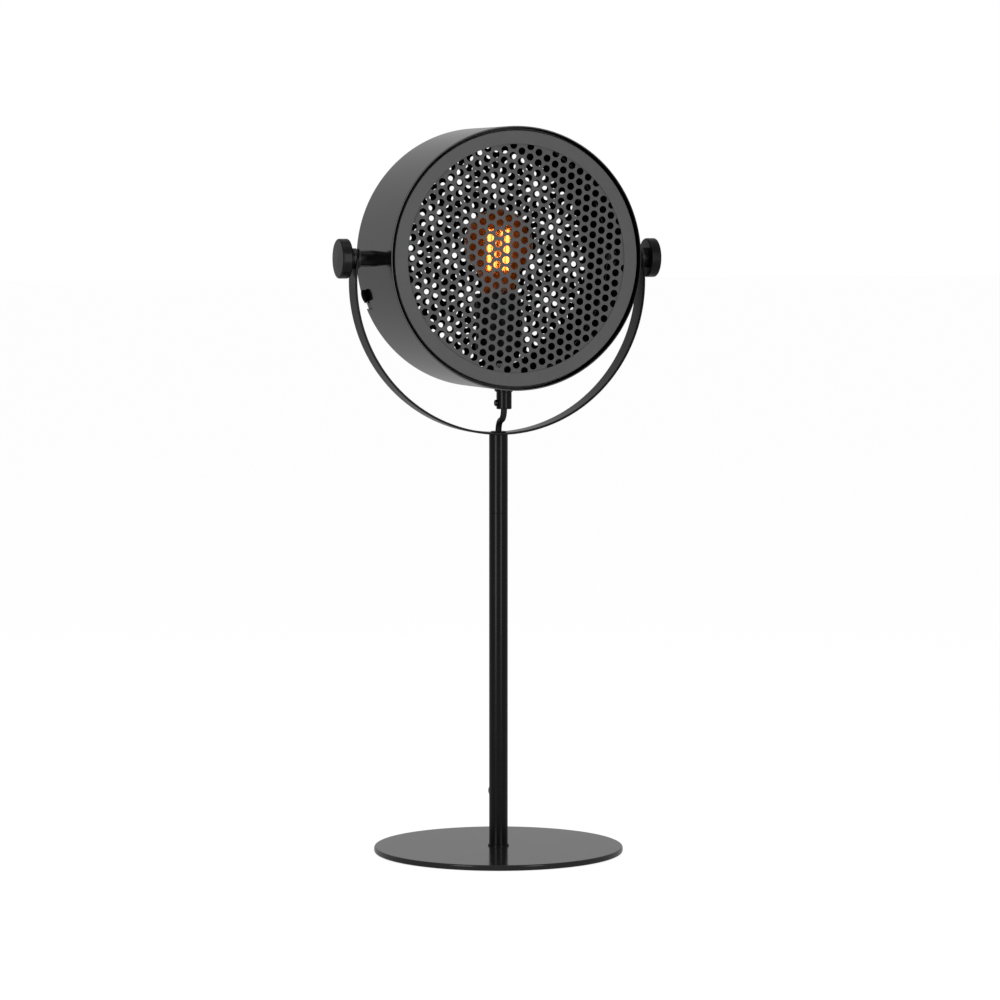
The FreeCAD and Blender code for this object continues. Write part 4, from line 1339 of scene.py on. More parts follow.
# ---- pivots
@dataclass
class Pivot:
    """Spacer, tapered washers and clamping knob on one side."""

    places: Places
    side: Side
    spacer_bore: float = 4.1 * MM
    washer_bore: float = 4.05 * MM
    washer_edge: float = 0.4 * MM
    hub_radius: float = 9.0 * MM
    hub_length: float = 3.4 * MM
    knob_edge: float = 1.6 * MM
    knob_dome: float = 0.35 * MM
    bore_radius: float = 4.05 * MM
    bore_depth: float = 9.5 * MM
    yoke_thickness: float = 2.0 * MM
    steps: int = 64

    def build(self) -> None:
        """Make the pieces of this side."""
        word = self.side.word
        fit(f"pivot_spacer_{word}", self.spacer(), STEM_PAINT, "head", f"spacer_{word}")
        outside = self.places.yoke_radius
        for place, yoke_face, way in (("outer", outside, 1), ("inner", outside - self.yoke_thickness, -1)):
            node = f"{place}_washer_{word}"
            washer = self.washer(node, yoke_face, way)
            fit(f"{place}_taper_washer_{word}", washer, WASHER_PLASTIC, "stand", node)
        fit(f"clamping_knob_{word}", self.knob(), KNOB_PLASTIC, f"knob_{word}_body", f"knob_{word}")

    @property
    def outward(self) -> Vector:
        """The direction away from the drum."""
        return X_AXIS * self.side.value

    def reach(self, node: str) -> Pair:
        """Return how near and how far a node lies from the middle, along X."""
        near, far = sorted(abs(corner.x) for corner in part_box(node))
        return near, far

    def on_pivot_axis(self, reach: float) -> Vector:
        """Return the point of this side's pivot axis at a distance from the middle."""
        return Vector((self.side.value * reach, 0, self.places.pivot.z))

    def spacer(self) -> Mesh:
        """Make the round spacer between drum and yoke.

        Returns:
            The mesh.
        """
        node = f"spacer_{self.side.word}"
        low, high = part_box(node)
        near, far = self.reach(node)
        radius, length = (high.z - low.z) / 2, far - near
        corners = [Corner(self.spacer_bore, 0), Corner(radius, 0), Corner(radius, length, FINE_EDGE),
                   Corner(self.spacer_bore, length)]
        return turned_tube(corners, self.on_pivot_axis(near), self.outward, self.steps)

    def washer(self, node: str, yoke_face: float, way: int) -> Mesh:
        """Return a washer with one upright face and one that follows the yoke's bend.

        Args:
            node: The washer's node.
            yoke_face: The radius of the yoke's face that it lies on.
            way: 1 outside the yoke, -1 inside it.

        Returns:
            The washer's mesh.
        """
        low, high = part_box(node)
        radius = (high.z - low.z) / 2
        near, far = self.reach(node)
        upright = far if way > 0 else near
        bore = self.washer_bore
        rings = []
        for distance, on_yoke in ((bore, True), (radius, True), (radius, False), (bore, False)):
            row = []
            for step in range(self.steps):
                angle = FULL_TURN * step / self.steps
                height = self.places.pivot.z + distance * math.sin(angle)
                on_face = math.sqrt(yoke_face ** 2 - (height - self.places.yoke_centre.z) ** 2)
                x = self.side.value * (on_face if on_yoke else upright)
                row.append(Vector((x, distance * math.cos(angle), height)))
            rings.append(row)
        vertices = [point for row in rings for point in row]
        faces = []
        for index in range(len(rings)):
            low_row, high_row = index * self.steps, (index + 1) % len(rings) * self.steps
            for step in range(self.steps):
                onward = (step + 1) % self.steps
                faces.append([low_row + step, low_row + onward, high_row + onward, high_row + step])
        mesh = sheet_mesh(vertices, faces)
        settle_normals(mesh, self.places.pivot, X_AXIS)
        return mesh

    def knob(self) -> Mesh:
        """Make the flat round knob with its hub and the blind bore for the stud.

        Returns:
            The mesh.
        """
        node = f"knob_{self.side.word}"
        low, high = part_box(node)
        near, far = self.reach(node)
        radius, length = (high.z - low.z) / 2, far - near
        corners = [
            Corner(0, self.bore_depth), Corner(self.bore_radius, self.bore_depth),
            Corner(self.bore_radius, 0), Corner(self.hub_radius, 0, FINE_EDGE),
            Corner(self.hub_radius, self.hub_length, SOFT_EDGE),
            Corner(radius, self.hub_length, self.knob_edge),
            Corner(radius, length - self.knob_dome, self.knob_edge), Corner(0, length),
        ]
        return turned_solid(corners, self.on_pivot_axis(near), self.outward)


# ---- drum
@dataclass
class Drum:
    """Rolled wall of the head, slotted at its rear edge for the cover's thumb screws."""

    places: Places
    body: str = "head"
    wall: float = 1.2 * MM
    stud_hole: float = 4.2 * MM
    grip_hole: float = 5.1 * MM
    screw_hole: float = 2.1 * MM
    slot_half_width: float = 2.9 * MM
    slot_overrun: float = 5 * MM
    slot_inside: float = 4 * MM
    slot_outside: float = 3 * MM
    slot_arc_steps: int = 12
    slot_run_steps: int = 4
    slot_turn: float = math.radians(5.2)
    drill_reach: float = 40 * MM
    drill_clearance: float = 10 * MM
    wall_steps: int = 288
    drill_steps: int = 40

    def build(self) -> None:
        """Make the wall."""
        radius, depth = self.places.drum_radius, self.places.drum_rear - self.places.drum_front
        inner = radius - self.wall
        foot = Vector((0, self.places.drum_front, self.places.pivot.z))
        wall = turned_tube(pipe(inner, radius, depth, FINE_EDGE), foot, Y_AXIS, self.wall_steps)
        mesh = cut(wall, self.tools())
        settle_normals(mesh, self.places.pivot, Y_AXIS)
        # The wall's inner face takes matt black as painted shade.
        lined(mesh, lambda face: self.places.off_axis(face.center) < inner + FINE_EDGE)
        fit("drum_wall", mesh, WALL_PAINT, self.body, "drum_shell")

    def tools(self) -> list[Mesh]:
        """Make the solids that cut the wall's holes and slots.

        Returns:
            The cutters.
        """
        across = self.places.drum_radius + self.drill_clearance
        tools = []
        for side in Side:
            outward = X_AXIS * side.value
            tools.append(self.drill(self.places.pivot + outward * across * 0.8, outward, self.stud_hole))
        below = self.places.pivot.z - across
        tools.append(self.drill(Vector((0, middle_of("grip_body").y, below)), Z_AXIS, self.grip_hole))
        tools.append(self.drill(on_stem_axis(below), Z_AXIS, self.screw_hole))
        tools.extend(self.slot(angle, level) for angle, level in self.places.cover_screws())
        return tools

    def drill(self, start: Vector, axis: Vector, radius: float) -> Mesh:
        """Return a drill through one side of the wall."""
        return turned_solid(rod(radius, self.drill_reach), start, axis, self.drill_steps)

    def slot(self, angle: float, level: float) -> Mesh:
        """Return the L-shaped cutter of one screw slot.

        Args:
            angle: The locked screw's place round the drum.
            level: The screw's place along the drum's axis.

        Returns:
            The cutter, as a thick outline swept through the wall.
        """
        half = self.slot_half_width
        spread = half / self.places.drum_radius
        near, far = self.slot_turn - spread, self.slot_turn + spread
        mouth = self.places.drum_rear + self.slot_overrun
        outline = []
        for step in range(self.slot_arc_steps + 1):
            bend = math.pi * step / self.slot_arc_steps - QUARTER_TURN
            outline.append((-spread * math.cos(bend), level + half * math.sin(bend)))
        outline += [(near, level + half), (near, mouth), (far, mouth), (far, level - half)]
        steps = self.slot_run_steps
        outline += [(far * (1 - step / steps), level - half) for step in range(1, steps)]
        vertices = []
        for step in (-self.slot_inside, self.slot_outside):
            radius = self.places.drum_radius + step
            vertices.extend(self.places.round_drum(angle + turn, radius, depth) for turn, depth in outline)
        count = len(outline)
        faces = [list(range(count)), list(range(count, 2 * count))]
        for step in range(count):
            onward = (step + 1) % count
            faces.append([step, onward, count + onward, count + step])
        return sheet_mesh(vertices, faces)


# ---- perforated faces
@dataclass
class PerforatedFace:
    """A ring, its perforated sheet and the hidden ring and nuts that clamp it."""

    places: Places
    face: Face
    lean: float
    across: float
    up: float
    hole_radius: float
    ring_radius: float
    flange_depth: float
    foot_radius: float
    first_stud: float
    ring_thickness: float = 1.2 * MM
    opening_radius: float = 98.9 * MM
    hole_pitch: float = 9.0 * MM
    field_radius: float = 99.6 * MM
    sheet_gap: float = 0.3 * MM
    hole_edge: float = 0.14 * MM
    clamp_width: float = 7.0 * MM
    stud_inset: float = 3.8 * MM
    stud_radius: float = 1.5 * MM
    stud_reach: float = 6.7 * MM
    nut_radius: float = 5.5 * MM / math.sqrt(3)
    nut_height: float = 2.4 * MM
    nut_edge: float = 0.25 * MM
    outer_edge: float = 0.7 * MM
    opening_edge: float = 0.45 * MM
    ring_steps: int = 256
    clamp_steps: int = 192
    stud_sides: int = 24
    nut_sides: int = 6

    @property
    def body(self) -> str:
        """The body that carries this face."""
        return "head" if self.face is Face.FRONT else "rear_cover"

    @property
    def outward(self) -> Vector:
        """The direction that the face looks in."""
        return Y_AXIS * self.face.value

    def build(self) -> None:
        """Make the ring, the sheet, the clamping ring and the nuts."""
        word = self.face.word
        fit(f"{word}_ring", self.ring(), RING_PAINT, self.body, f"{word}_bezel")
        fit(f"{word}_perforated_sheet", self.sheet(), GRILLE_PAINT, self.body, f"{word}_grille")
        # The clamping ring, inside the drum, is matt black all over as painted shade.
        fit(f"{word}_clamp_ring", self.clamp(), SHADE_AND_WIRE_BLACK, self.body, f"{word}_retainer")
        nuts = [f"{word}_nut_{index}" for index in (1, 2, 3)]
        fit(f"{word}_clamp_nuts", self.nuts(), ZINC, self.body, *nuts)

    def front_plane(self) -> float:
        """Return the place of the ring's outer face along the drum's axis."""
        low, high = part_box(f"{self.face.word}_bezel")
        return low.y if self.face is Face.FRONT else high.y

    def ring(self) -> Mesh:
        """Make the flat ring with its flange, and the studs behind it.

        Returns:
            The mesh.
        """
        flange_inner = self.ring_radius - self.ring_thickness
        depth = self.flange_depth
        foot = [Corner(flange_inner, -depth), Corner(max(self.foot_radius, self.ring_radius), -depth)]
        if self.foot_radius > self.ring_radius:
            foot += [Corner(radius, self.ring_thickness - depth)
                     for radius in (self.foot_radius, self.ring_radius)]
        corners = foot + [
            Corner(self.ring_radius, 0, self.outer_edge),
            Corner(self.opening_radius, 0, self.opening_edge),
            Corner(self.opening_radius, -self.ring_thickness, CRISP_EDGE),
            Corner(flange_inner, -self.ring_thickness),
        ]
        place = Vector((0, self.front_plane(), self.places.pivot.z))
        ring = turned_tube(corners, place, self.outward, self.ring_steps)
        stud_start = self.ring_thickness * 0.5
        studs = self.posts(self.stud_sides, self.stud_radius, self.stud_reach - 0.5 * MM, stud_start)
        mesh = joined([ring, studs])
        # The faces of the ring's flange that lie inside the drum take matt black as painted shade.
        back = self.front_plane() - self.outward.y * self.ring_thickness * 0.9
        inside = flange_inner + 0.1 * MM
        return lined(mesh, lambda face: (face.center.y - back) * self.outward.y < 0
                     and self.places.off_axis(face.center) < inside)

    def sheet(self) -> Mesh:
        """Make the perforated sheet, with painted shade: its holes' walls and its back take matt black.

        Returns:
            The mesh.
        """
        low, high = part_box(f"{self.face.word}_grille")
        across, up = (2 * (int(self.field_radius / gap) + 2) + 1
                      for gap in (self.hole_pitch * math.sqrt(3) / 2, self.hole_pitch))
        flat = grown(perforated_sheet_tree(), {
            "Sheet Radius": self.ring_radius - self.ring_thickness - self.sheet_gap,
            "Field Radius": self.field_radius, "Hole Radius": self.hole_radius,
            "Hole Pitch": self.hole_pitch, "Columns": across, "Rows": up, "Thickness": high.y - low.y,
            "Lean": self.lean, "Across": self.across, "Up": self.up, "Finish": GRILLE_PAINT.material(),
        })
        mesh = softened(flat, self.hole_edge, 1)
        place = Matrix.Translation((0, high.y, self.places.pivot.z))
        mesh.transform(place @ Matrix.Rotation(QUARTER_TURN, 4, "X"))
        settle_normals(mesh, self.places.pivot, Y_AXIS)
        return lined(mesh, lambda face: face.normal.dot(self.outward) < 0.6)

    def clamp(self) -> Mesh:
        """Make the ring that clamps the sheet.

        Returns:
            The mesh.
        """
        low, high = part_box(f"{self.face.word}_retainer")
        outer, thickness = high.x, high.y - low.y
        inner = outer - self.clamp_width
        corners = [Corner(inner, 0, CRISP_EDGE), Corner(outer, 0), Corner(outer, thickness),
                   Corner(inner, thickness, CRISP_EDGE)]
        return turned_tube(corners, Vector((0, low.y, self.places.pivot.z)), Y_AXIS, self.clamp_steps)

    def posts(self, sides: int, radius: float, length: float, depth: float) -> Mesh:
        """Return posts on the circle of the studs, pointing into the drum.

        Args:
            sides: Faces round each post.
            radius: Its radius.
            length: Its length.
            depth: How far behind the ring's outer face it starts.

        Returns:
            The posts' mesh, in place.
        """
        mesh = grown(posts_on_circle_tree(), {
            "Sides": sides, "Post Radius": radius, "Post Length": length,
            "Circle Radius": self.ring_radius - self.ring_thickness - self.stud_inset,
            "First Angle": self.first_stud, "Finish": ZINC.material(),
        })
        mesh.transform(Matrix.Rotation(QUARTER_TURN, 4, "X"))
        if self.face is Face.FRONT:
            mesh.transform(Matrix.Translation((0, length, 0)))
        start = self.front_plane() - self.outward.y * depth
        mesh.transform(Matrix.Translation((0, start, self.places.pivot.z)))
        settle_normals(mesh, self.places.pivot, Y_AXIS)
        return mesh

    def nuts(self) -> Mesh:
        """Make the nuts behind the clamping ring.

        Returns:
            The mesh.
        """
        low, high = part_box(f"{self.face.word}_nut_1")
        near = min(abs(self.front_plane() - low.y), abs(self.front_plane() - high.y))
        posts = self.posts(self.nut_sides, self.nut_radius, self.nut_height, near)
        return softened(posts, self.nut_edge, 1)


@dataclass
class CoverScrews:
    """Three thumb screws that hold the rear cover in the drum's slots."""

    places: Places
    head_radius: float = 5.6 * MM
    head_thickness: float = 3.3 * MM
    shank_radius: float = 2.5 * MM
    shank_length: float = 9.0 * MM
    seat_gap: float = 0.3 * MM
    edge: float = 0.22 * MM

    def build(self) -> None:
        """Make the screws."""
        tree = thumb_screw_tree()
        for index, (angle, level) in enumerate(self.places.cover_screws(), start=1):
            mesh = grown(tree, {
                "Head Radius": self.head_radius, "Head Thickness": self.head_thickness,
                "Shank Radius": self.shank_radius, "Shank Length": self.shank_length,
                "Finish": STEM_PAINT.material(),
            })
            mesh = smoothed(softened(mesh, self.edge, 1), 40)
            seat = self.places.round_drum(angle, self.places.drum_radius + self.seat_gap, level)
            outward = (seat - self.places.pivot) * Vector((1, 0, 1))
            turn = Z_AXIS.rotation_difference(outward.normalized()).to_matrix().to_4x4()
            mesh.transform(Matrix.Translation(seat) @ turn)
            node = f"cover_screw_{index}"
            fit(f"thumb_screw_{index}", mesh, STEM_PAINT, f"{node}_body", node)


# ---- lampholder
@dataclass
class Lampholder:
    """Bracket on the drum's floor and the three shells of the lampholder."""

    places: Places
    body: str = "head"
    strip_thickness: float = 2.0 * MM
    strip_bend: float = 3.0 * MM
    shell_wall: float = 1.8 * MM
    dome_foot_radius: float = 12.5 * MM
    nipple_radius: float = 5.05 * MM
    rib_depth: float = 0.5 * MM
    rib_width: float = 1.3 * MM
    middle_rib_start: float = 4 * MM
    middle_rib_gap: float = 3.6 * MM
    middle_ribs: int = 5
    skirt_rib_start: float = 2.5 * MM
    skirt_rib_gap: float = 3.4 * MM
    skirt_ribs: int = 3
    lip_width: float = 3.6 * MM
    lip_rounding: float = 0.9 * MM
    foot_rounding: float = 1.5 * MM
    shoulder_rounding: float = 3.0 * MM
    strip_edge: float = 0.25 * MM
    floor_gap: float = 1.25 * MM
    bend_steps: int = 6
    turn_steps: int = 96

    def build(self) -> None:
        """Make the bracket and the shells."""
        # The bracket on the drum's floor is matt black all over as painted shade.
        fit("holder_strip_bracket", self.bracket(), SHADE_AND_WIRE_BLACK, self.body, "holder_bracket")
        fit("holder_lower_shell", self.dome(), HOLDER_PLASTIC, self.body, "holder_dome")
        fit("holder_middle_shell", self.middle(), HOLDER_PLASTIC, self.body, "holder_body")
        fit("holder_top_ring", self.top_ring(), HOLDER_PLASTIC, self.body, "holder_skirt")

    def bracket(self) -> Mesh:
        """Make the C-shaped strip bracket with rounded bends.

        Returns:
            The mesh.
        """
        low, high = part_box("holder_bracket")
        floor = self.places.pivot.z - self.places.drum_radius + self.floor_gap
        bend = self.strip_bend
        back = high.y - bend
        path = [(low.y, floor), (back, floor)]
        for centre, start in ((floor + bend, -QUARTER_TURN), (high.z - bend, 0.0)):
            for step in range(1, self.bend_steps + 1):
                angle = start + QUARTER_TURN * step / self.bend_steps
                path.append((back + bend * math.cos(angle), centre + bend * math.sin(angle)))
        path.append((low.y, high.z))
        vertices, faces = [], []
        for y, z in path:
            vertices += [Vector((low.x, y, z)), Vector((high.x, y, z))]
        for index in range(len(path) - 1):
            row = 2 * index
            faces.append([row, row + 1, row + 3, row + 2])
        mesh = new_mesh(vertices, faces)
        if mesh.polygons[0].normal.z > 0:
            mesh.flip_normals()
        return smoothed(softened(thickened(mesh, self.strip_thickness), self.strip_edge, 2, 60), 30)

    def dome(self) -> Mesh:
        """Make the lower shell, narrowing to its foot.

        Returns:
            The mesh.
        """
        low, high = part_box("holder_dome")
        radius, height = high.x, high.z - low.z
        shoulder = radius - self.dome_foot_radius
        wall = self.shell_wall
        corners = [
            Corner(self.nipple_radius, 0), Corner(self.dome_foot_radius, 0, self.foot_rounding),
            Corner(radius, shoulder, self.shoulder_rounding), Corner(radius, height, FINE_EDGE),
            Corner(radius - wall, height), Corner(radius - wall, shoulder + wall / 2),
            Corner(self.dome_foot_radius - wall / 2, wall), Corner(self.nipple_radius, wall),
        ]
        return turned_tube(corners, on_stem_axis(low.z), steps=self.turn_steps)

    def ribbed_side(self, radius: float, start: float, count: int, gap: float) -> list[Corner]:
        """Lay out grooves cut round a shell.

        Args:
            radius: The shell's radius.
            start: The height of the lowest groove.
            count: How many there are.
            gap: From each to the next.

        Returns:
            The corners of the grooves, from the lowest up.
        """
        corners = []
        for index in range(count):
            foot = start + index * gap
            corners += [
                Corner(radius, foot, CRISP_EDGE),
                Corner(radius - self.rib_depth, foot + self.rib_depth),
                Corner(radius - self.rib_depth, foot + self.rib_width - self.rib_depth),
                Corner(radius, foot + self.rib_width, CRISP_EDGE),
            ]
        return corners

    def middle(self) -> Mesh:
        """Make the middle shell with its grip grooves and inner ledge.

        Returns:
            The mesh.
        """
        low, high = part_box("holder_body")
        radius, height, wall = high.x, high.z - low.z, self.shell_wall
        corners = [
            Corner(radius - 2 * wall, 0), Corner(radius, 0, FINE_EDGE),
            *self.ribbed_side(radius, self.middle_rib_start, self.middle_ribs, self.middle_rib_gap),
            Corner(radius, height, FINE_EDGE), Corner(radius - wall, height),
            Corner(radius - wall, wall), Corner(radius - 2 * wall, wall),
        ]
        return turned_tube(corners, on_stem_axis(low.z), steps=self.turn_steps)

    def top_ring(self) -> Mesh:
        """Make the top ring with its rim turned in.

        Returns:
            The mesh.
        """
        low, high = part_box("holder_skirt")
        radius, height, wall = high.x, high.z - low.z, self.shell_wall
        lip = radius - self.lip_width
        corners = [
            Corner(radius - wall, 0), Corner(radius, 0, FINE_EDGE),
            *self.ribbed_side(radius, self.skirt_rib_start, self.skirt_ribs, self.skirt_rib_gap),
            Corner(radius, height, self.lip_rounding), Corner(lip, height, SOFT_EDGE),
            Corner(lip, height - wall, SOFT_EDGE), Corner(radius - wall, height - wall),
        ]
        return turned_tube(corners, on_stem_axis(low.z), steps=self.turn_steps)


# ---- bulb
@dataclass
class Bulb:
    """Amber globe with upright glowing sticks on a glass mount, and its screw cap."""

    body: str = "bulb"
    glass_wall: float = 0.8 * MM
    neck_radius: float = 14.0 * MM
    neck_straight: float = 4.0 * MM
    cap_cone: float = 2.8 * MM
    cap_shell: float = 20.0 * MM
    tip_radius: float = 4.8 * MM
    tip_height: float = 1.6 * MM
    flare_radius: float = 11.0 * MM
    flare_height: float = 8.0 * MM
    post_radius: float = 2.0 * MM
    stick_radius: float = 0.9 * MM
    stick_count: int = 4
    stick_circle: float = 9.0 * MM
    ring_radius: float = 0.45 * MM
    wire_radius: float = 0.45 * MM
    tip_rounding: float = 1.0 * MM
    shell_radius: float = 12.4 * MM
    shell_rounding: float = 0.6 * MM
    ridge_radius: float = 1.0 * MM
    ridge_sink: float = 0.3 * MM
    ridge_start: float = 1.5 * MM
    ridge_end_gap: float = 4 * MM
    flare_rounding: float = 4.0 * MM
    post_rounding: float = 1.0 * MM
    throat_steps: int = 12
    ball_steps: int = 40
    turn_steps: int = 96
    mount_steps: int = 48
    wire_steps: int = 12
    stick_steps: int = 16
    ring_sides: int = 8

    def build(self) -> None:
        """Make the glass, the cap, the mount and the sticks."""
        fit("amber_globe", self.globe(), AMBER_GLASS, self.body, "bulb_glass")
        fit("bulb_screw_cap", self.cap(), NICKEL, self.body, "bulb_cap")
        fit("stick_mount", self.mount(), CLEAR_GLASS, self.body, "bulb_mount")
        fit("glowing_sticks", self.sticks(), FILAMENT_GLOW, self.body, "bulb_filament")

    def globe_line(self, inset: float, low: float, high: float, radius: float) -> list[Pair]:
        """Lay out the globe from its mouth to its top.

        Args:
            inset: How far the line is drawn in.
            low: The height of the mouth.
            high: The height of the top.
            radius: The ball's radius.

        Returns:
            The outline's points, as radius and height.
        """
        ball, neck = radius - inset, self.neck_radius - inset
        centre = high - radius
        neck_top = low + self.neck_straight
        drop = centre - neck_top
        throat = (neck ** 2 + drop ** 2 - ball ** 2) / (2 * (ball - neck))
        join = math.atan2(drop, neck + throat)
        line = [(neck, low), (neck, low + self.neck_straight / 2)]
        for step in range(self.throat_steps + 1):
            angle = join * step / self.throat_steps
            line.append((neck + throat - throat * math.cos(angle), neck_top + throat * math.sin(angle)))
        for step in range(1, self.ball_steps + 1):
            angle = -join + (QUARTER_TURN + join) * step / self.ball_steps
            line.append((max(0.0, ball * math.cos(angle)), centre + ball * math.sin(angle)))
        line[-1] = (0.0, centre + ball)
        return line

    def globe(self) -> Mesh:
        """Make the pear-shaped glass with an even wall, open at its neck.

        Returns:
            The mesh.
        """
        low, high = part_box("bulb_glass")
        outer = self.globe_line(0.0, low.z, high.z, high.x)
        inner = self.globe_line(self.glass_wall, low.z, high.z, high.x)
        rim = [RimPoint(radius, low.z, (0, -1), (0, -1))
               for radius in (self.neck_radius - self.glass_wall, self.neck_radius)]
        outlines = (smooth_outline(outer), smooth_outline(inner[::-1]), rim)
        return joined([turned(line, False, on_stem_axis(0.0), steps=self.turn_steps) for line in outlines])

    def cap(self) -> Mesh:
        """Make the cap with its rolled thread and contact tip.

        Returns:
            The mesh.
        """
        low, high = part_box("bulb_cap")
        radius, height = self.shell_radius, high.z - low.z
        shell_foot = height - self.cap_shell
        corners = [
            Corner(0, 0), Corner(self.tip_radius, 0, self.tip_rounding),
            Corner(self.tip_radius + self.tip_height / 2, self.tip_height),
            Corner(radius - self.tip_height, shell_foot - self.tip_height / 2, FULL_EDGE),
            Corner(radius, shell_foot, self.shell_rounding),
            Corner(radius, height - self.cap_cone, FULL_EDGE), Corner(high.x, height, SOFT_EDGE),
            Corner(0, height),
        ]
        core = turned_solid(corners, on_stem_axis(low.z), steps=self.turn_steps)
        thread = grown(screw_thread_tree(), {
            "Thread Radius": radius - self.ridge_sink, "Ridge Radius": self.ridge_radius,
            "Climb": self.cap_shell - self.cap_cone - self.ridge_end_gap, "Finish": NICKEL.material(),
        })
        thread.transform(Matrix.Translation((0, 0, low.z + shell_foot + self.ridge_start)))
        return joined([core, smoothed(thread)])

    def mount(self) -> Mesh:
        """Make the glass flare and post with the wires that hold the sticks.

        Returns:
            The mesh.
        """
        low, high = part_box("bulb_mount")
        height = high.z - low.z
        corners = [
            Corner(0, 0), Corner(self.flare_radius, 0, FINE_EDGE),
            Corner(self.post_radius, self.flare_height, self.flare_rounding),
            Corner(self.post_radius, height, self.post_rounding), Corner(0, height),
        ]
        parts = [turned_solid(corners, on_stem_axis(low.z), steps=self.mount_steps)]
        wire = rod(self.wire_radius, self.stick_circle)
        start = on_stem_axis(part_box("bulb_filament")[0].z)
        for direction in self.stick_directions():
            parts.append(turned_solid(wire, start, direction, self.wire_steps))
        return joined(parts)

    def stick_directions(self) -> list[Vector]:
        """Return the direction of each stick from the bulb's axis."""
        angles = [FULL_TURN * (index + 0.5) / self.stick_count for index in range(self.stick_count)]
        return [Vector((math.cos(angle), math.sin(angle), 0)) for angle in angles]

    def sticks(self) -> Mesh:
        """Make the glowing sticks and the thin dark ring that joins them.

        Returns:
            The mesh.
        """
        low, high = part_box("bulb_filament")
        length = high.z - self.ring_radius - low.z
        stick = rod(self.stick_radius, length, FINE_EDGE)
        parts = []
        for direction in self.stick_directions():
            foot = direction * self.stick_circle + on_stem_axis(low.z)
            parts.append(turned_solid(stick, foot, steps=self.stick_steps))
        ring = []
        for step in range(self.ring_sides):
            angle = FULL_TURN * step / self.ring_sides
            normal = (math.cos(angle), math.sin(angle))
            out, up = (self.ring_radius * part for part in normal)
            ring.append(RimPoint(self.stick_circle + out, up, normal, normal))
        parts.append(turned(ring, True, on_stem_axis(high.z - self.ring_radius), steps=self.mount_steps))
        return lined(joined(parts), lambda face: face.center.z > high.z - 2.2 * self.ring_radius)


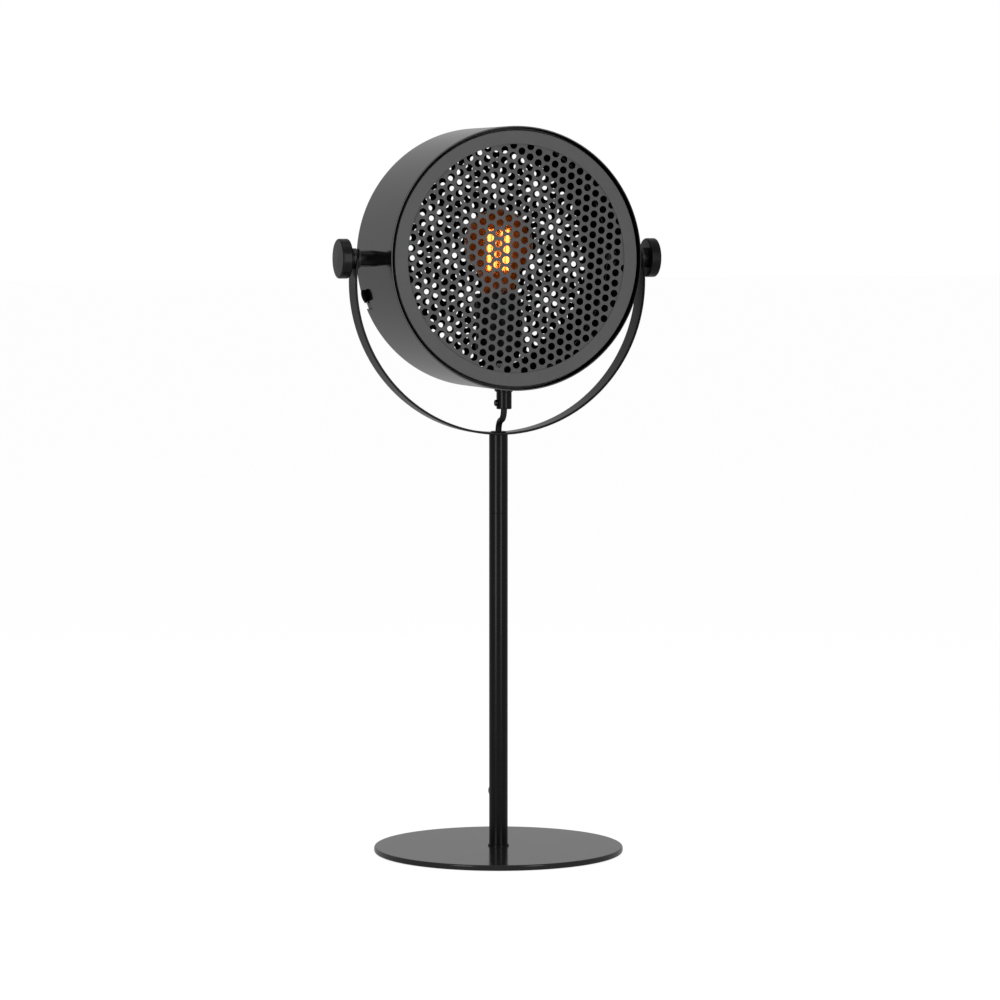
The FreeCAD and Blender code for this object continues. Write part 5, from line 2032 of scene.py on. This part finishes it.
# ---- lead and grip
@dataclass
class Lead:
    """Cord grip under the drum, and the lead between stem, grip and lampholder."""

    places: Places
    radius: float = 2.75 * MM
    grip_flange: float = 2.2 * MM
    grip_radius: float = 6.7 * MM
    grip_bore: float = 3.0 * MM
    grip_step: float = 4.6 * MM
    screw_slot: float = 0.8 * MM
    side_screw_head: float = 1.8 * MM
    side_screw_shank: float = 1.5 * MM
    bracket_screw_head: float = 2.4 * MM
    bracket_screw_shank: float = 1.9 * MM
    slack: float = 8.5 * MM
    overlap: float = 2 * MM
    thread_radius: float = 5.0 * MM
    flange_sink: float = 0.6 * MM
    grip_rounding: float = 0.7 * MM
    grip_steps: int = 96
    screw_steps: int = 48

    def build(self) -> None:
        """Make the grip, its screw and the shown lengths of the lead."""
        fit("cord_grip", self.grip(), STEM_PAINT, "head", "grip_body")
        side_screw = self.slotted_screw("grip_screw", middle_of("grip_screw"), X_AXIS, Z_AXIS,
                                        self.side_screw_head, self.side_screw_shank)
        fit("cord_grip_screw", side_screw, STEM_PAINT, "head", "grip_screw")
        bracket_screw = self.slotted_screw("bracket_screw", on_stem_axis(0.0), Z_AXIS, X_AXIS,
                                           self.bracket_screw_head, self.bracket_screw_shank)
        fit("bracket_cheese_screw", bracket_screw, STEM_PAINT, "head", "bracket_screw")
        low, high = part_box("lead_span")
        forward = middle_of("grip_body").y
        bottom, top = on_stem_axis(low.z), Vector((0, forward, high.z))
        route = [bottom - Z_AXIS * self.overlap, bottom + Z_AXIS * self.slack, top - Z_AXIS * self.slack,
                 top + Z_AXIS * self.overlap]
        span = dressed("lead_s_bend", self.run(route), LEAD_SHEATH, "lead_span")
        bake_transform(span)
        inside_low, inside_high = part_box("lead_in_head")
        turn_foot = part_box("grip_nut")[1].z
        turn_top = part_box("holder_nipple")[0].z
        middle = (turn_foot + turn_top) / 2
        inside = [Vector((0, forward, height)) for height in (inside_low.z, turn_foot, middle)]
        inside += [on_stem_axis(height) for height in (middle, turn_top, inside_high.z)]
        fit("lead_inside_drum", self.run(inside), LEAD_SHEATH, "head", "lead_in_head")

    def run(self, points: Sequence[Vector]) -> Mesh:
        """Make a round lead along a smooth line.

        Args:
            points: The line's guiding points.

        Returns:
            The mesh.
        """
        line = bpy.data.curves.new("lead", "CURVE")
        line.dimensions = "3D"
        line.bevel_depth = self.radius
        line.bevel_resolution = 8
        line.resolution_u = 24
        line.use_fill_caps = True
        spline = line.splines.new("NURBS")
        spline.points.add(len(points) - 1)
        for place, point in zip(spline.points, points):
            place.co = (*point, 1.0)
        spline.order_u = 3
        spline.use_endpoint_u = True
        return smoothed(settled(in_scene(line)))

    def grip(self) -> Mesh:
        """Make the grip with its flange, body and the thread through the drum's wall.

        Returns:
            The mesh.
        """
        low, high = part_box("grip_body")
        flange_radius = (high.x - low.x) / 2
        wall_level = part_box("drum_shell")[0].z
        body_top = wall_level - self.grip_flange - low.z
        seat = wall_level - low.z + self.flange_sink
        corners = [
            Corner(self.grip_bore, 0, FINE_EDGE), Corner(self.grip_radius, 0, self.grip_rounding),
            Corner(self.grip_radius, body_top, FULL_EDGE), Corner(flange_radius, body_top, SOFT_EDGE),
            Corner(flange_radius, seat, FINE_EDGE), Corner(self.thread_radius, seat),
            Corner(self.thread_radius, high.z - low.z, FINE_EDGE),
            Corner(self.grip_bore, high.z - low.z),
        ]
        foot = Vector(((low.x + high.x) / 2, (low.y + high.y) / 2, low.z))
        return turned_tube(corners, foot, steps=self.grip_steps)

    def slotted_screw(self, node: str, on_axis: Vector, axis: Vector, slot_axis: Vector,
                      height: float, shank: float) -> Mesh:
        """Make a slotted cheese-head screw.

        Args:
            node: Its node.
            on_axis: A point on its axis.
            axis: The direction from the head's top to the shank's end.
            slot_axis: The direction of the slot.
            height: The head's height.
            shank: The shank's radius.

        Returns:
            The screw's mesh.
        """
        low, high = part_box(node)
        foot = on_axis + axis * (low - on_axis).dot(axis)
        head = (high.dot(slot_axis) - low.dot(slot_axis)) / 2
        reach = high.dot(axis) - low.dot(axis)
        corners = [Corner(0, 0), Corner(head, 0, height * 0.25), Corner(head, height),
                   Corner(shank, height), Corner(shank, reach), Corner(0, reach)]
        screw = turned_solid(corners, foot, axis, self.screw_steps)
        turn = Matrix((slot_axis, axis.cross(slot_axis), axis)).transposed().to_4x4()
        size = Matrix.Diagonal((head * 4, self.screw_slot, height * 0.8, 1.0))
        work = bmesh.new()
        bmesh.ops.create_cube(work, size=1.0, matrix=Matrix.Translation(foot) @ turn @ size)
        bmesh.ops.recalc_face_normals(work, faces=work.faces)
        tool = new_mesh([], [])
        work.to_mesh(tool)
        work.free()
        mesh = cut(screw, [tool])
        settle_normals(mesh, foot, axis)
        return mesh


# ---- studio
FULL_WHITE = (1.0, 1.0, 1.0, 1.0)
PAPER_WHITE = (0.8, 0.8, 0.8, 1.0)
SHADOW_GREY = (0.3, 0.3, 0.3, 1.0)


@dataclass
class Softbox:
    """One area light, aimed at the lamp from an angle round it."""

    name: str
    bearing: float
    rise: float
    distance: float
    width: float
    height: float
    radiance: float

    def build(self, target: Vector, front: float) -> None:
        """Place the light.

        Args:
            target: What it is aimed at.
            front: The camera's bearing, from which its own bearing counts.
        """
        bearing = front + math.radians(self.bearing)
        rise = math.radians(self.rise)
        level = math.cos(rise)
        direction = Vector((math.sin(bearing) * level, -math.cos(bearing) * level, math.sin(rise)))
        light = bpy.data.lights.new(self.name, "AREA")
        light.shape = "RECTANGLE"
        light.size = self.width
        light.size_y = self.height
        light.energy = self.radiance * math.pi * self.width * self.height
        lamp = in_scene(light, self.name)
        lamp.location = target + direction * self.distance
        lamp.rotation_euler = (-direction).to_track_quat("-Z", "Y").to_euler()


@dataclass
class Studio:
    """White floor and surroundings, soft lights and the camera."""

    camera_bearing: float = math.radians(-18.91)
    camera_distance: float = 3.48528
    camera_height: float = 0.56258
    camera_pitch: float = math.radians(4.113)
    focal_pixels: float = 3971.9
    frame_pixels: float = 1000.0
    shift: float = 0.00155
    sensor_width: float = 36.0
    floor_half: float = 30.0
    aim_height: float = 0.42
    fill: float = 0.35
    floor_glow: float = 0.88
    room_white: float = 0.4
    backdrop_gloss: float = 0.5
    floor_gloss: float = 0.34
    floor_fade: Pair = (-0.8, 0.2)
    room_fade: Pair = (-0.25, 0.25)

    def build(self) -> None:
        """Set up everything round the lamp."""
        self.place_camera()
        self.lay_floor()
        self.light_world()
        target = on_stem_axis(self.aim_height)
        for box in (
            Softbox("left_softbox", -33, 8, 1.4, 0.44, 1.2, 4.2),
            Softbox("right_softbox", 33, 8, 1.4, 0.4, 1.2, 3.4),
            Softbox("top_softbox", 0, 78, 1.7, 0.9, 0.9, 1.0),
        ):
            box.build(target, self.camera_bearing)
        bpy.context.scene.view_settings.view_transform = "Standard"

    def place_camera(self) -> None:
        """Put the camera at the viewing angle."""
        camera = bpy.data.cameras.new("camera")
        camera.sensor_width = self.sensor_width
        camera.lens = self.focal_pixels / self.frame_pixels * self.sensor_width
        camera.shift_x = self.shift
        camera.clip_end = 100.0
        holder = in_scene(camera, "camera")
        bearing, distance = self.camera_bearing, self.camera_distance
        holder.location = (distance * math.sin(bearing), -distance * math.cos(bearing), self.camera_height)
        holder.rotation_euler = (QUARTER_TURN - self.camera_pitch, 0.0, bearing)
        bpy.context.scene.camera = holder

    def white_rays(self, graph: Graph) -> Socket:
        """Pick the rays that show the background: from the camera, in gloss and through glass.

        Args:
            graph: The graph of the floor or the world.

        Returns:
            1 for those rays and 0 for the others.
        """
        path = graph.add("ShaderNodeLightPath").outputs
        shown = graph.math("MAXIMUM", path["Is Camera Ray"], path["Is Glossy Ray"])
        return graph.math("MAXIMUM", shown, path["Is Transmission Ray"])

    def whiteness(self, graph: Graph, place: Socket, dim: float, bright: float,
                  gloss: float) -> Socket:
        """Return how white the studio is: full to the eye, less in gloss and least on the room's side.

        Args:
            graph: The graph of the floor or the world.
            place: The place on the floor, or the direction in the world.
            dim: How far towards the backdrop the room's grey ends.
            bright: How far towards the backdrop its own brightness starts.
            gloss: The brightness there in gloss.

        Returns:
            The brightness, always 1 for rays from the camera and through glass.
        """
        backwards = (-math.sin(self.camera_bearing), math.cos(self.camera_bearing), 0.0)
        along = graph.add("ShaderNodeVectorMath", {0: place, 1: backwards}, operation="DOT_PRODUCT")
        share = graph.add("ShaderNodeMapRange", {"Value": along.outputs["Value"], 1: dim, 2: bright,
                                                 3: self.room_white, 4: gloss})
        path = graph.add("ShaderNodeLightPath").outputs
        direct = graph.math("MAXIMUM", path["Is Camera Ray"], path["Is Transmission Ray"])
        return graph.math("MAXIMUM", direct, share.outputs[0])

    def lay_floor(self) -> None:
        """Lay the white floor, which keeps the lamp's soft shadow."""
        half = self.floor_half
        corners = [(-half, -half, 0), (half, -half, 0), (half, half, 0), (-half, half, 0)]
        mesh = new_mesh(corners, [(0, 1, 2, 3)])
        floor = in_scene(mesh, "floor")
        paper = bpy.data.materials.new("white_paper")
        paper.use_nodes = True
        nodes = paper.node_tree.nodes
        graph = Graph(paper.node_tree)
        nodes.remove(nodes["Principled BSDF"])
        paper_white = graph.add("ShaderNodeBsdfDiffuse", {"Color": PAPER_WHITE})
        shadow_keeper = graph.add("ShaderNodeBsdfDiffuse", {"Color": SHADOW_GREY})
        place = graph.add("ShaderNodeTexCoord").outputs["Object"]
        white = self.whiteness(graph, place, *self.floor_fade, self.floor_gloss)
        glow = graph.math("MULTIPLY", white, self.floor_glow)
        bright = graph.add("ShaderNodeEmission", {"Color": FULL_WHITE, "Strength": glow})
        shown = graph.add("ShaderNodeAddShader", {0: bright.outputs[0], 1: shadow_keeper.outputs[0]})
        mixed = graph.add("ShaderNodeMixShader", {0: self.white_rays(graph), 1: paper_white.outputs[0],
                                                  2: shown.outputs[0]})
        graph.link(mixed.outputs[0], nodes["Material Output"].inputs["Surface"])
        mesh.materials.append(paper)

    def light_world(self) -> None:
        """Surround the lamp with soft grey light that shows as white."""
        world = bpy.data.worlds.new("studio")
        world.use_nodes = True
        nodes = world.node_tree.nodes
        graph = Graph(world.node_tree)
        soft = nodes["Background"]
        soft.inputs["Color"].default_value = FULL_WHITE
        soft.inputs["Strength"].default_value = self.fill
        direction = graph.add("ShaderNodeTexCoord").outputs["Generated"]
        strength = self.whiteness(graph, direction, *self.room_fade, self.backdrop_gloss)
        white = graph.add("ShaderNodeBackground", {"Color": FULL_WHITE, "Strength": strength})
        mixed = graph.add("ShaderNodeMixShader", {0: self.white_rays(graph), 1: soft.outputs[0],
                                                  2: white.outputs[0]})
        graph.link(mixed.outputs[0], nodes["World Output"].inputs["Surface"])
        bpy.context.scene.world = world


# ---- the whole lamp
def dress_carried_nodes(frame: dict[str, Any]) -> None:
    """Give every node that is carried over its procedural finish.

    Args:
        frame: The loaded frame.
    """
    by_slot = {finish.slot: finish for finish in CARRIED_FINISHES}
    slot_of = {part["node"]: part["material_slot"] for part in frame["record"]["subparts"]}
    for name, node in frame["nodes"].items():
        node.data.materials.clear()
        node.data.materials.append(by_slot[slot_of[name]].material())


def sub_assemblies(places: Places) -> list[Callable[[], None]]:
    """Set up the lamp's sub-assemblies.

    Args:
        places: The places from the frame.

    Returns:
        Their builders, in order.
    """
    front = PerforatedFace(
        places, Face.FRONT, lean=math.radians(4.0), across=-1.6 * MM, up=2.9 * MM, hole_radius=3.2 * MM,
        ring_radius=110.5 * MM, flange_depth=12.0 * MM, foot_radius=113.1 * MM, first_stud=math.radians(30),
    )
    rear = PerforatedFace(
        places, Face.REAR, lean=math.radians(-9.8), across=-0.7 * MM, up=1.5 * MM, hole_radius=2.4 * MM,
        ring_radius=112.8 * MM, flange_depth=21.7 * MM, foot_radius=0.0, first_stud=math.radians(16),
    )
    pivots = [Pivot(places, side) for side in Side]
    parts = [Base(), Stem(places), Yoke(places), *pivots, Drum(places), front, rear, CoverScrews(places),
             Lampholder(places), Bulb(), Lead(places)]
    return [part.build for part in parts]


def main() -> None:
    """Build the lamp over its frame, and the studio round it."""
    logging.basicConfig(level=logging.INFO, format="%(message)s")
    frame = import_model()
    places = Places.read(frame["joints"])
    Studio().build()
    dress_carried_nodes(frame)
    for build in sub_assemblies(places):
        build()


if __name__ == "__main__":
    main()
